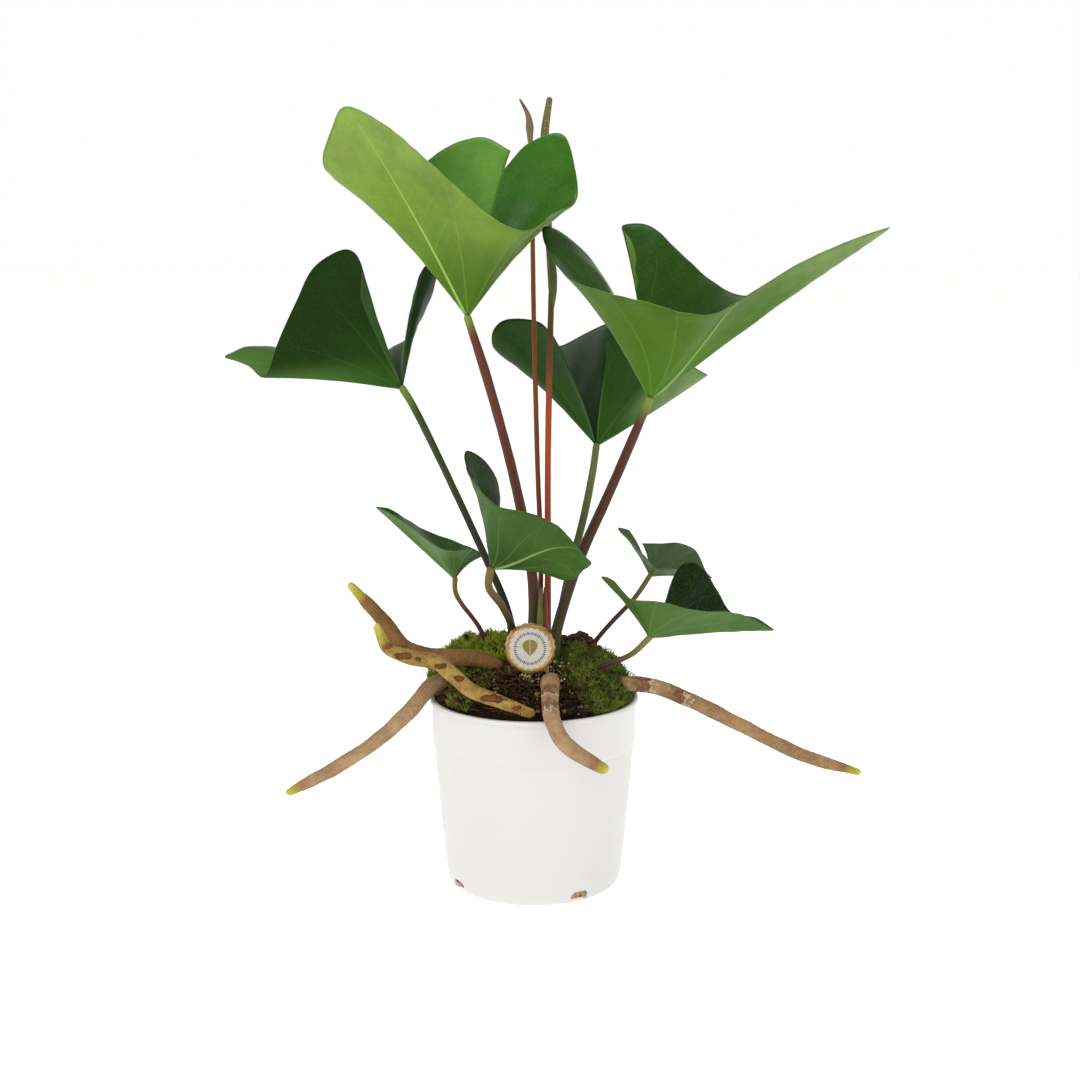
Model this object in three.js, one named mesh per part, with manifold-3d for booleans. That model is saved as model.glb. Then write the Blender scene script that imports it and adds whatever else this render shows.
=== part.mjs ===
// A potted anthurium: arrow-shaped leaves on long stalks, two flower stems and
// stout aerial roots that reach out over the rim of a white nursery pot.
// Millimetres, +Z up. The origin is the centre of the pot's flat underside.
import * as THREE from 'three';
import Module from 'manifold-3d';
import { mergeVertices } from 'three/addons/utils/BufferGeometryUtils.js';

// ---------------------------------------------------------------- sizes
const clearance = 0.3; // gap between pieces that touch

const potHeight = 110;
const lipRadius = 60;
const lipHeight = 3;
const lipWidth = 1.6; // how far the lip stands out from the collar
const collarHeight = 24; // the wider band below the lip
const collarStep = 0.8;
const baseRadius = 50;
const baseCorner = 4;
const potWall = 1.2;
const potFloor = 1.8;
const potSides = 32;
const notchWidth = 12; // drain notches in the bottom edge
const notchHeight = 7;
const notchDepth = 9;
const notchCount = 4;
const firstNotch = 31; // degrees to the right of the front

const soilBelowLip = 3; // soil against the wall, below the lip's top
const moundRise = 25; // soil at the middle, above the soil at the wall
const moundFlatness = 4; // a higher power leaves a flatter top and a steeper edge
const mossThickness = 14;

const leafThickness = 1.0;
const leafThinning = 0.07; // thickness per mm from the leaf's joint, near the joint
const leafJoint = 2.6; // how far from the joint's centre the blade begins
const jointRadius = 2.1; // rounded end of a leaf stalk

const capDiameter = 28.6;
const capDepth = 6;
const capSheet = 0.8;
const capTaper = 1.5; // the skirt is this much wider than the face
const capTilt = 12; // degrees that the face looks up
const discDiameter = 22;
const discThickness = 0.6;
const stakeRadius = 1.3;
const stakeLength = 45;

// ---------------------------------------------------------------- helpers
const wasm = await Module();
wasm.setup();
const lerp = THREE.MathUtils.lerp;
const clamp = THREE.MathUtils.clamp;
const radians = THREE.MathUtils.degToRad;
const upAxis = new THREE.Vector3(0, 0, 1);
const sideAxis = new THREE.Vector3(0, 1, 0);

// heights above the pot's lip keep to the lip when the pot grows
const aboveLip = ([x, y, z]) => new THREE.Vector3(x, y, z + potHeight);

// what crosses the lip or lies on the soil also spreads out with the lip
const layoutLip = 60; // the lip radius that the roots' points were set out for
const spread = lipRadius / layoutLip;
const overLip = ([x, y, z]) => new THREE.Vector3(x * spread, y * spread, z + potHeight);

function closed(geometry) {
  geometry.deleteAttribute('normal');
  geometry.deleteAttribute('uv');
  return mergeVertices(geometry, 1e-4);
}

function toSolid(geometry) {
  const merged = closed(geometry.clone());
  return new wasm.Manifold(new wasm.Mesh({
    numProp: 3,
    vertProperties: new Float32Array(merged.attributes.position.array),
    triVerts: new Uint32Array(merged.index.array),
  }));
}

function toGeometry(solid) {
  const { vertProperties, triVerts } = solid.getMesh();
  const geometry = new THREE.BufferGeometry();
  geometry.setAttribute('position', new THREE.BufferAttribute(vertProperties, 3));
  geometry.setIndex(new THREE.BufferAttribute(triVerts, 1));
  return geometry;
}

// turns every face over when the closed geometry is inside out
function faceOut(geometry) {
  const index = geometry.index.array;
  const place = geometry.attributes.position;
  const [a, b, c] = [new THREE.Vector3(), new THREE.Vector3(), new THREE.Vector3()];
  let volume = 0;
  for (let i = 0; i < index.length; i += 3) {
    a.fromBufferAttribute(place, index[i]);
    b.fromBufferAttribute(place, index[i + 1]);
    c.fromBufferAttribute(place, index[i + 2]);
    volume += a.dot(b.cross(c));
  }
  if (volume < 0) {
    for (let i = 0; i < index.length; i += 3) {
      [index[i + 1], index[i + 2]] = [index[i + 2], index[i + 1]];
    }
  }
  return geometry;
}

function mapPoints(geometry, move) {
  const place = geometry.attributes.position;
  for (let i = 0; i < place.count; i += 1) {
    const moved = move(new THREE.Vector3().fromBufferAttribute(place, i));
    place.setXYZ(i, moved.x, moved.y, moved.z);
  }
  return faceOut(closed(geometry));
}

// a value read off a short list of values spread evenly from 0 to 1
function along(values, t) {
  const at = clamp(t, 0, 1) * (values.length - 1);
  const low = Math.min(Math.floor(at), values.length - 2);
  return lerp(values[low], values[low + 1], at - low);
}

// a round rod along a smooth path, with rounded ends
function rod(points, radii, { sides = 8, step = 18, extra = 0 } = {}) {
  const path = new THREE.CatmullRomCurve3(points);
  const length = path.getLength();
  const rings = Math.max(3, Math.round(length / step));
  const ends = [[0, 0], [0.12, 0.55], [0.5, 0.88]]; // share of the end radius: along, out
  const profile = [];
  for (const [share, out] of ends) {
    profile.push(new THREE.Vector2(out * radii[0], (share * radii[0]) / length));
  }
  for (let i = 0; i <= rings; i += 1) {
    const t = lerp(radii[0] / length, 1 - radii.at(-1) / length, i / rings);
    profile.push(new THREE.Vector2(along(radii, t), t));
  }
  for (const [share, out] of ends.toReversed()) {
    profile.push(new THREE.Vector2(out * radii.at(-1), 1 - (share * radii.at(-1)) / length));
  }
  const rise = points.at(-1).clone().sub(points[0]).normalize();
  const guide = Math.abs(rise.z) > 0.7 ? sideAxis : upAxis;
  return mapPoints(new THREE.LatheGeometry(profile, sides), (p) => {
    const out = Math.hypot(p.x, p.z);
    const grown = out > 0 ? (out + extra) / out : 0;
    const tangent = path.getTangentAt(p.y);
    const across = guide.clone().addScaledVector(tangent, -guide.dot(tangent)).normalize();
    const other = new THREE.Vector3().crossVectors(tangent, across);
    const endward = p.y <= 0 ? -extra : p.y >= 1 ? extra : 0;
    return path.getPointAt(p.y)
      .addScaledVector(across, p.x * grown)
      .addScaledVector(other, p.z * grown)
      .addScaledVector(tangent, endward);
  });
}

// a leaf blade: spokes from the joint to the margin, each bowed by the belly
function blade({ joint, margin, belly }, across, outward) {
  const centre = aboveLip(joint);
  const edge = new THREE.CatmullRomCurve3(margin.map((p) => new THREE.Vector3(...p)));
  const axis = margin.reduce((sum, p) => sum.add(new THREE.Vector3(...p)), new THREE.Vector3());
  axis.normalize();
  const surface = (u, v) => {
    const spoke = edge.getPoint(u);
    const start = leafJoint / spoke.length();
    const t = lerp(start, 1, v);
    return centre.clone().addScaledVector(spoke, t).addScaledVector(axis, belly * 4 * t * (1 - t));
  };
  const step = 0.004;
  return mapPoints(new THREE.BoxGeometry(1, 1, 1, across, outward, 1), (p) => {
    const u = p.x + 0.5;
    const v = p.y + 0.5;
    const alongEdge = surface(Math.min(u + step, 1), v).sub(surface(Math.max(u - step, 0), v));
    const alongSpoke = surface(u, Math.min(v + step, 1)).sub(surface(u, Math.max(v - step, 0)));
    const normal = alongEdge.cross(alongSpoke).normalize();
    const point = surface(u, v);
    const thickness = Math.min(leafThickness, leafThinning * point.distanceTo(centre));
    return point.addScaledVector(normal, p.z * thickness);
  });
}

// ---------------------------------------------------------------- materials
function finish(colour, roughness, metalness = 0) {
  return new THREE.MeshStandardMaterial({ color: colour, roughness, metalness });
}

const whitePlastic = finish('#EEEDEA', 0.45);
const soilBrown = finish('#2A1E12', 0.95);
const mossGreen = finish('#5A7A1A', 0.95);
const barkBrown = finish('#5A4A34', 0.8);
const lightLeaf = finish('#7FA445', 0.4);
const darkLeaf = finish('#2F5A24', 0.35);
const stalkBrown = finish('#5F4030', 0.5);
const stalkGreen = finish('#4A5530', 0.5);
const flowerStemRed = finish('#9A4A2C', 0.5);
const spatheGreen = finish('#4F5F28', 0.5);
const spadixOlive = finish('#7A7430', 0.6);
const rootTan = finish('#A08468', 0.8);
const goldMetal = finish('#A8823C', 0.35, 1);
const cream = finish('#E4E0D6', 0.5);

// ---------------------------------------------------------------- pot
const collarRadius = lipRadius - lipWidth;
const collarBottom = potHeight - lipHeight - collarHeight;
const bodyTopRadius = collarRadius - collarStep;

// outer radius of the wall at a height, from the rounded corner up
function potRadius(z) {
  if (z > potHeight - lipHeight) return lipRadius;
  if (z > collarBottom) return collarRadius;
  const share = clamp((z - baseCorner) / (collarBottom - baseCorner), 0, 1);
  return lerp(baseRadius, bodyTopRadius, share ** 0.8);
}

const innerRadius = (z) => potRadius(Math.min(z, collarBottom)) - potWall;
const mouthRadius = collarRadius - potWall;

function potProfile() {
  const points = [[0, 0], [baseRadius - baseCorner, 0]];
  for (const angle of [30, 60, 90]) {
    const turn = radians(angle);
    points.push([
      baseRadius - baseCorner + baseCorner * Math.sin(turn),
      baseCorner - baseCorner * Math.cos(turn),
    ]);
  }
  for (const share of [0.33, 0.66, 1]) {
    const z = lerp(baseCorner, collarBottom, share);
    points.push([potRadius(z), z]);
  }
  points.push([collarRadius, collarBottom + collarStep * 2]);
  points.push([collarRadius, potHeight - lipHeight]);
  points.push([lipRadius, potHeight - lipHeight + 0.4]);
  points.push([lipRadius, potHeight - 0.6]);
  points.push([lipRadius - 0.6, potHeight]);
  points.push([mouthRadius + 0.4, potHeight]);
  points.push([mouthRadius, potHeight - 0.8]);
  points.push([mouthRadius, collarBottom + collarStep * 2]);
  for (const share of [1, 0.5, 0]) {
    const z = lerp(baseCorner, collarBottom, share);
    points.push([innerRadius(z), z]);
  }
  points.push([baseRadius - baseCorner, potFloor]);
  points.push([0, potFloor]);
  return points.map(([r, z]) => new THREE.Vector2(r, z));
}

// LatheGeometry turns about Y, so its result is stood up on Z
function turned(profile, segments) {
  return mapPoints(new THREE.LatheGeometry(profile, segments), (p) => (
    new THREE.Vector3(p.x, -p.z, p.y)
  ));
}

function potSolid() {
  let solid = toSolid(turned(potProfile(), potSides));
  for (let i = 0; i < notchCount; i += 1) {
    const notch = new THREE.BoxGeometry(notchWidth, notchDepth * 2, notchHeight * 2);
    notch.translate(0, -baseRadius, 0);
    notch.rotateZ(radians(firstNotch + (360 / notchCount) * i));
    solid = solid.subtract(toSolid(notch));
  }
  return solid;
}

// ---------------------------------------------------------------- soil and moss
const soilEdge = potHeight - soilBelowLip;
const soilRadius = mouthRadius - clearance;

// height of the soil's surface at a distance from the pot's axis
function soilTop(r) {
  return soilEdge + moundRise * (1 - Math.min(r / soilRadius, 1) ** moundFlatness);
}

function soilProfile() {
  const points = [[0, potFloor + clearance], [baseRadius - baseCorner - 1, potFloor + clearance]];
  for (const share of [0, 0.5, 1]) {
    const z = lerp(baseCorner, collarBottom, share);
    points.push([innerRadius(z) - clearance, z]);
  }
  points.push([soilRadius, collarBottom + collarStep * 2 + clearance]);
  for (const share of [1, 0.93, 0.84, 0.7, 0.45, 0]) {
    points.push([soilRadius * share, soilTop(soilRadius * share)]);
  }
  return points.map(([r, z]) => new THREE.Vector2(r, z));
}

// a cushion of moss over the soil: its underside is cut off by the soil's surface
function mossCushion([x, y], [wide, deep], thickness) {
  const half = [[0, -0.3], [0.97, -0.3], [1, 0], [0.94, 0.4], [0.76, 0.75], [0.42, 0.95], [0, 1]];
  const lens = new THREE.LatheGeometry(half.map(([r, z]) => new THREE.Vector2(r, z)), 20);
  return mapPoints(lens, (p) => {
    const atX = (x + p.x * wide) * spread;
    const atY = (y - p.z * deep) * spread;
    const reach = Math.hypot(atX, atY);
    const pull = Math.min(1, (soilRadius - 2 * clearance) / reach);
    const ground = soilTop(reach * pull);
    return new THREE.Vector3(atX * pull, atY * pull, ground + p.y * thickness);
  });
}

// ---------------------------------------------------------------- plant layout
// Leaf joints are given above the pot's lip; margins are given from the joint, and
// run from one side of the leaf's cleft, round the tip, to the other side.
const leaves = {
  top: {
    joint: [-36, -15, 216], belly: 6, cells: [30, 5], material: lightLeaf,
    margin: [
      [23, 42, 91], [8, 50, 99], [-11, 48, 94], [-33, 38, 79], [-58, 12, 71], [-74, -22, 81],
      [-68, -36, 100], [-60, -42, 110], [-40, -50, 100], [-19, -56, 83], [14, -52, 56],
      [33, -44, 48], [48, -26, 56], [59, 0, 62], [59, 18, 79], [52, 30, 100], [33, 30, 95],
      [20, 26, 81],
    ],
  },
  right: {
    joint: [62, -45, 174], belly: 6, cells: [32, 5], material: lightLeaf,
    margin: [
      [-23, 39, 62], [-32, 34, 77], [-46, 24, 89], [-57, 12, 91], [-54, 0, 77], [-44, -16, 64],
      [-28, -30, 59], [-4, -40, 55], [14, -40, 49], [31, -36, 47], [48, -30, 56], [75, -22, 73],
      [102, -12, 85], [125, 0, 92], [105, 18, 81], [80, 32, 65], [56, 44, 53], [38, 52, 60],
      [21, 60, 76], [4, 66, 92], [-13, 66, 92], [-6, 58, 79], [0, 48, 57],
    ],
  },
  back: {
    joint: [37, 60, 136], belly: 4, cells: [26, 4], material: darkLeaf,
    margin: [
      [-18, -22, 48], [-23, -24, 61], [-34, -20, 74], [-54, -6, 75], [-62, 2, 66],
      [-58, 14, 55], [-40, 34, 55], [-20, 50, 56], [4, 66, 67], [24, 78, 72], [44, 66, 59],
      [60, 40, 46], [66, 12, 45], [52, -6, 51], [30, -18, 58], [8, -24, 67], [5, -22, 52],
    ],
  },
  left: {
    joint: [-74, 10, 175], belly: 3, cells: [28, 4], material: darkLeaf,
    margin: [
      [-21, -20, 52], [-20, -22, 71], [-29, -20, 78], [-47, -14, 68], [-58, -8, 49],
      [-69, 0, 28], [-79, 10, 6], [-89, 17, 11], [-97, 20, 14], [-104, 22, 16], [-99, 25, 18.5],
      [-92, 30, 21], [-78, 40, 20], [-53, 50, 16], [-26, 52, 14], [-7, 48, 21], [4, 42, 29], [15, 30, 53], [19, 18, 70],
      [12, 6, 67], [8, 0, 51],
    ],
  },
  front: {
    joint: [-23, -62, 85], belly: 3, cells: [20, 4], material: darkLeaf,
    margin: [
      [4, 20, 34], [3, 20, 45], [-3, 14, 57], [-12, 2, 64], [-12, -6, 57], [-7, -14, 49],
      [4, -22, 38], [22, -26, 35], [36, -22, 28], [45, -12, 16], [50.5, -5, 8], [54, 0, 3],
      [50, 4, -1], [44, 9, -7], [35, 19, -7], [23, 31, 1],
    ],
  },
  small_left: {
    joint: [-46, 25, 62], belly: 2, cells: [14, 3], material: darkLeaf,
    margin: [
      [16, 15, 11], [12, 22, 14], [-3, 24, 19], [-16, 20, 25], [-28, 12, 34], [-37, 5, 41],
      [-41.5, 2, 42.5], [-46, 0, 43], [-40, -2.5, 41], [-31, -6, 36], [-19, -11, 28], [-9, -14, 22], [1, -14, 20], [11, -4, 19],
    ],
  },
  small_right_back: {
    joint: [68, 35, 62], belly: 2, cells: [14, 3], material: darkLeaf,
    margin: [
      [-4, 16, 17], [7, 22, 16], [20, 20, 16], [29, 14, 12], [34, 6, 2], [37, 0, -1],
      [26, -8, 3], [14, -12, 7], [3, -12, 7], [-6, -8, 16], [-13, -4, 23], [-19, 0, 29],
      [-12, 5, 27],
    ],
  },
  small_right: {
    joint: [64, -30, 40], belly: 2, cells: [18, 3], material: darkLeaf,
    margin: [
      [11, 20, 17], [17, 28, 31], [23, 32, 37], [32, 30, 34], [41, 24, 21], [48, 16, 11],
      [60, 8, 10], [70, 0, 4], [57, -6, 12], [45, -11, 17], [24, -16, 20], [4, -16, 24],
      [-11, -9, 25], [-21, -3, 34], [-27, 2, 34], [-20, 8, 26],
    ],
  },
};

// Stalks run from their foot in the crown or soil up to their leaf's joint.
const stalks = {
  top: {
    route: [[-1, -7, 26], [0, -8, 57], [-3, -10, 87], [-12, -13, 132], [-25, -15, 181]],
    radii: [3.2, 3.0, 2.7], material: stalkBrown,
  },
  left: {
    route: [[-10, 4, 19], [-15, 7, 47], [-25, 9, 72], [-48, 10, 123], [-66, 10, 161]],
    radii: [2.3, 2.1, 2.0], material: stalkGreen,
  },
  right: {
    route: [[11, -12, 19], [13, -18, 42], [25, -26, 83], [42, -34, 124], [55, -42, 157]],
    radii: [3.1, 3.0, 2.6], material: stalkBrown,
  },
  back: {
    route: [[11, 7, 18], [19, 24, 59], [29, 42, 95], [35, 56, 122]],
    radii: [2.4, 2.3, 2.2], material: stalkGreen,
  },
  front: {
    route: [[-9, -14, 18], [-11, -20, 40], [-17, -40, 60], [-24, -55, 74]],
    radii: [2.1, 2.0, 2.0], material: stalkBrown,
  },
  small_left: {
    route: [[-25, 12, 16], [-31, 16, 34], [-42, 22, 48], [-46, 25, 55]],
    radii: [1.5, 1.4, 1.6], material: stalkBrown,
  },
  small_right_back: {
    route: [[26, 14, 15], [42, 20, 34], [59, 30, 50]],
    radii: [1.5, 1.4, 1.6], material: stalkBrown,
  },
  small_right: {
    route: [[24, -18, 14], [39, -24, 23], [54, -28, 30]],
    radii: [1.6, 1.5, 1.7], material: stalkGreen,
  },
};

const crownRoute = [[1, -4, 12], [1, -3, 22], [1, -2, 34]];
const crownRadii = [14, 14, 9];

const youngStem = [[3, 4, 28], [4, 8, 77], [2, 14, 134], [0, 24, 213], [-1, 32, 280], [-2, 36, 313]];
const youngSpathe = [[-2, 36, 313.4], [-3, 38, 326], [-8, 40, 336]];
const tallStem = [[8, 0, 27], [8, 4, 78], [8, 12, 134], [9, 20, 190], [10, 26, 229]];
const spadixRoute = [[10, 26, 229.4], [9, 28, 252], [7, 31, 280], [6, 34, 313], [9, 36, 337]];
const greenSpathe = [[12, 24, 226], [11, 23.4, 238], [8.5, 23.4, 252], [5, 22, 266]];
const newShoot = [[3.5, -14, 22], [3.5, -14, 50], [4, -12, 65]];
const redCataphyll = [[7, -5.5, 27], [7, -5, 48], [7, -4.5, 64]];

// Aerial roots, from the soil outwards over the lip.
const roots = {
  low_left: {
    route: [[-34, -9, 9], [-50, -12, 11], [-59, -16, 8], [-71, -22, -5], [-89, -28, -20],
      [-111, -32, -34], [-139, -36, -48]],
    radii: [4.7, 4.7, 4.6, 4.4, 4.2, 4.0, 3.9, 3.6, 1.8],
  },
  upper_left: {
    route: [[-18, -17, 18], [-31, -22, 26], [-48, -24, 28], [-63, -22, 29], [-75, -20, 35],
      [-85, -18, 48], [-104, -14, 68]],
    radii: [4.6, 4.7, 4.5, 4.4, 4.4, 4.2, 4.1, 3.5, 1.7],
  },
  scarred: {
    route: [[1, -52.5, 2.5], [-8, -53, 6], [-16, -53, 9], [-33, -49, 14], [-45, -44, 23],
      [-55, -40, 29], [-70, -36, 31], [-81, -34, 35], [-87, -32, 49]],
    radii: [2.4, 3.5, 4.1, 3.8, 4.1, 4.2, 4.0, 3.2, 1.6],
  },
  front: {
    route: [[10, -24, 8], [9, -36, 16], [9, -47, 15], [9, -57, 9], [11, -66, 1], [17, -73, -8],
      [28, -77, -15], [40, -80, -21]],
    radii: [5.4, 6.0, 5.3, 4.7, 4.5, 4.6, 4.3, 3.9, 2.8],
  },
  right: {
    route: [[36, -14, 6], [50, -16, 10], [62, -17, 10], [75, -18, 7], [98, -20, -3],
      [124, -22, -16], [154, -24, -30], [185, -26, -39]],
    radii: [4.4, 4.4, 4.3, 4.2, 4.1, 3.9, 3.8, 3.5, 1.9],
  },
};

// ---------------------------------------------------------------- plant pieces
const plant = [];

function addPiece(name, geometry, material) {
  const mesh = new THREE.Mesh(geometry, material);
  mesh.name = name;
  plant.push(mesh);
}

const rodPieces = []; // what stands or lies in the soil, kept to cut its sockets

function addRod(name, points, radii, material, options = {}) {
  addPiece(name, rod(points, radii, options), material);
  rodPieces.push(toSolid(rod(points, radii, { ...options, extra: clearance })));
}

for (const [name, leaf] of Object.entries(leaves)) {
  addPiece(`leaf_${name}`, blade(leaf, ...leaf.cells), leaf.material);
}

for (const [name, stalk] of Object.entries(stalks)) {
  const points = [...stalk.route, leaves[name].joint].map(aboveLip);
  const [before, end] = points.slice(-2);
  end.add(end.clone().sub(before).setLength(jointRadius)); // the round end is centred on the joint
  const smallRadius = stalk.radii.at(-1);
  addRod(`stalk_${name}`, points, [...stalk.radii, Math.min(smallRadius, jointRadius)], stalk.material, {
    sides: smallRadius > 1.8 ? 8 : 6,
  });
}

const slender = { sides: 6, step: 20 };
const short = { sides: 6, step: 8 };
addRod('flower_stem_young', youngStem.map(aboveLip), [1.5, 1.4, 1.3], flowerStemRed, slender);
addRod('spathe_young', youngSpathe.map(aboveLip), [1.3, 2.2, 1.2, 0.5], spatheGreen, { sides: 6, step: 5 });
addRod('flower_stem_tall', tallStem.map(aboveLip), [1.9, 1.8, 1.7], flowerStemRed, slender);
addRod('spadix', spadixRoute.map(aboveLip), [1.6, 2.2, 2.6, 2.6, 1.6], spadixOlive, { step: 10 });
addRod('spathe_green', greenSpathe.map(aboveLip), [0.9, 1.9, 1.5, 0.5], spatheGreen, { sides: 6, step: 6 });
addRod('new_shoot', newShoot.map(aboveLip), [1.7, 1.7, 1.4, 0.7], stalkGreen, short);
addRod('cataphyll_red', redCataphyll.map(aboveLip), [1.6, 1.6, 1.3, 0.6], flowerStemRed, short);

for (const [name, root] of Object.entries(roots)) {
  addRod(`root_${name}`, root.route.map(overLip), root.radii, rootTan, { step: 9 });
}

// ---------------------------------------------------------------- plant tag
const tag = new THREE.Group();
tag.position.copy(aboveLip([-2, -42, 37]));
tag.rotation.x = radians(90 - capTilt); // local +Z looks forward, slightly up
const capRadius = capDiameter / 2;
const faceRadius = capRadius - capTaper;
const capProfile = [
  [0, 0], [faceRadius - 1, 0], [faceRadius, -1], [capRadius, -capDepth],
  [capRadius - capSheet, -capDepth], [faceRadius - capSheet, -1.4], [0, -capSheet],
].map(([r, z]) => new THREE.Vector2(r, z));
const discProfile = [
  [0, clearance / 2], [discDiameter / 2, clearance / 2],
  [discDiameter / 2, clearance / 2 + discThickness], [0, clearance / 2 + discThickness],
].map(([r, z]) => new THREE.Vector2(r, z));
const cap = new THREE.Mesh(turned(capProfile, 30), goldMetal);
cap.name = 'tag_cap';
const disc = new THREE.Mesh(turned(discProfile, 30), cream);
disc.name = 'tag_face';
tag.add(cap, disc);

const stakeTop = aboveLip([-2, -42, 37]);
stakeTop.y += capSheet + stakeRadius + clearance + 0.6;
const stakeFoot = stakeTop.clone();
stakeFoot.z -= stakeLength;
stakeFoot.y += 4;
addRod('tag_stake', [stakeFoot, stakeTop], [stakeRadius, stakeRadius], spatheGreen, slender);

// ---------------------------------------------------------------- soil, moss, crown
// Each lies under or round the rods, and the rods sit in sockets cut in it.
// A crumb that a cut leaves loose is dropped, and slivers under its size are smoothed away.
const crumb = 0.08;

function withSockets(geometry, neighbours = []) {
  let solid = toSolid(geometry);
  for (const piece of [...rodPieces, ...neighbours]) solid = solid.subtract(piece);
  const bodies = solid.simplify(crumb).decompose();
  bodies.sort((a, b) => b.volume() - a.volume());
  return toGeometry(bodies[0]);
}

const crownRoutePoints = crownRoute.map(aboveLip);
const crownMesh = { sides: 12, step: 6 };
addPiece('crown', withSockets(rod(crownRoutePoints, crownRadii, crownMesh)), barkBrown);
const crownRoom = toSolid(rod(crownRoutePoints, crownRadii, { ...crownMesh, extra: clearance }));

const soilShape = turned(soilProfile(), potSides);
addPiece('potting_soil', withSockets(soilShape, [crownRoom]), soilBrown);
const soilCover = toSolid(soilShape.translate(0, 0, clearance));

const mosses = {
  back_left: [[-31, 27], [24, 21]],
  right: [[38, 12], [18, 28]],
};
for (const [name, [centre, radii]] of Object.entries(mosses)) {
  const cushion = mossCushion(centre, radii, mossThickness);
  addPiece(`moss_${name}`, withSockets(cushion, [crownRoom, soilCover]), mossGreen);
}

addPiece('pot', toGeometry(potSolid()), whitePlastic);

// ---------------------------------------------------------------- the plant in its pot
const anthurium = new THREE.Group();
anthurium.name = 'potted_anthurium';
anthurium.add(tag, ...plant);

export default anthurium;
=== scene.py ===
"""Looks for a potted anthurium: glossy arrow-shaped leaves, flower stems and aerial roots
in a white nursery pot. Metres, +Z up; sizes of the plant are written in millimetres."""

import math
import random

import bmesh
import bpy
import numpy as np
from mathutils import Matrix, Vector, noise


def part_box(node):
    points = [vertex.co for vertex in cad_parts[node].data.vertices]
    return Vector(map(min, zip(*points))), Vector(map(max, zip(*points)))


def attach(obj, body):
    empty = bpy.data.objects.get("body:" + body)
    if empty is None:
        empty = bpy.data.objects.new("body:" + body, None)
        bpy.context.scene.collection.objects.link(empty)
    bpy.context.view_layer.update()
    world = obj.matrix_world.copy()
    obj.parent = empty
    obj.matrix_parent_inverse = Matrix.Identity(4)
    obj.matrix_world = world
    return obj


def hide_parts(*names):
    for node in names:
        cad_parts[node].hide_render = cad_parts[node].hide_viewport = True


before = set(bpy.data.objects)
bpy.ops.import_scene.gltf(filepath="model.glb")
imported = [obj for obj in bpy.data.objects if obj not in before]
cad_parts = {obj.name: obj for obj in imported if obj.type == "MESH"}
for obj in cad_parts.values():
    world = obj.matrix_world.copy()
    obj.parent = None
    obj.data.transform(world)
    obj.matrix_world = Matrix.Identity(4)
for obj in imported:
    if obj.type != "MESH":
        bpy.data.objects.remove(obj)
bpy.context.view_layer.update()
MM = 0.001
rng = random.Random(7)


# ---------------------------------------------------------------- numbers and curves
def smooth(low, high, x):
    """0 below low, 1 above high, with a soft step between."""
    t = np.clip((np.asarray(x, float) - low) / (high - low), 0, 1)
    return t * t * (3 - 2 * t)


class Path:
    """A smooth curve through chosen points, read off by share of its length."""

    STEPS = 24

    def __init__(self, points):
        p = np.array(points, float)
        p = np.vstack([2 * p[0] - p[1], p, 2 * p[-1] - p[-2]])
        rows = []
        for i in range(1, len(p) - 2):
            t = np.linspace(0, 1, self.STEPS, endpoint=False)[:, None]
            a, b, c, d = p[i - 1], p[i], p[i + 1], p[i + 2]
            rows.append(0.5 * (2 * b + (c - a) * t + (2 * a - 5 * b + 4 * c - d) * t ** 2
                               + (3 * b - a - 3 * c + d) * t ** 3))
        self.dense = np.vstack(rows + [p[-2][None]])
        gaps = np.linalg.norm(np.diff(self.dense, axis=0), axis=1)
        self.marks = np.concatenate([[0], np.cumsum(gaps)])
        self.length = self.marks[-1]

    def at(self, share):
        s = np.asarray(share, float) * self.length
        return np.stack([np.interp(s, self.marks, self.dense[:, k]) for k in range(3)], axis=-1)

    def tangent(self, share):
        share = np.asarray(share, float)
        d = self.at(np.minimum(share + 0.004, 1)) - self.at(np.maximum(share - 0.004, 0))
        return d / np.linalg.norm(d, axis=-1, keepdims=True)

    def share_of(self, index):
        """The share of the length at which the curve passes its chosen point."""
        return self.marks[index * self.STEPS] / self.length


# ---------------------------------------------------------------- meshes
def new_object(name, bm, material, outward=True):
    """A smooth-shaded object of the bmesh, with its doubles merged."""
    bmesh.ops.remove_doubles(bm, verts=bm.verts, dist=1e-6)
    bmesh.ops.dissolve_degenerate(bm, edges=bm.edges, dist=1e-7)
    if outward:
        bmesh.ops.recalc_face_normals(bm, faces=bm.faces)
    for face in bm.faces:
        face.smooth = True
    mesh = bpy.data.meshes.new(name)
    bm.to_mesh(mesh)
    bm.free()
    mesh.materials.append(material)
    piece = bpy.data.objects.new(name, mesh)
    bpy.context.collection.objects.link(piece)
    return piece


def moved_grid(bm, places, marks=None):
    """Adds a grid whose vertices go to places[i, j] (in millimetres), with a float
    attribute for each of the marks."""
    across, along = places.shape[0] - 1, places.shape[1] - 1
    marks = marks or {}
    # a new layer moves the vertices in memory, so the layers come first
    for key in marks:
        if key not in bm.verts.layers.float:
            bm.verts.layers.float.new(key)
    layers = {key: bm.verts.layers.float[key] for key in marks}
    for vert in bmesh.ops.create_grid(bm, x_segments=across, y_segments=along, size=0.5)["verts"]:
        i, j = round((vert.co.x + 0.5) * across), round((vert.co.y + 0.5) * along)
        vert.co = places[i, j] * MM
        for key, layer in layers.items():
            vert[layer] = marks[key][i, j]


BATCH = 120


def many(count, make_one):
    """One bmesh of many small shapes, made in batches, because every operator goes over
    all that its bmesh holds already."""
    whole = bmesh.new()
    for start in range(0, count, BATCH):
        batch = bmesh.new()
        for _ in range(min(BATCH, count - start)):
            make_one(batch)
        mesh = bpy.data.meshes.new("batch")
        batch.to_mesh(mesh)
        batch.free()
        whole.from_mesh(mesh)
        bpy.data.meshes.remove(mesh)
    return whole


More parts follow.
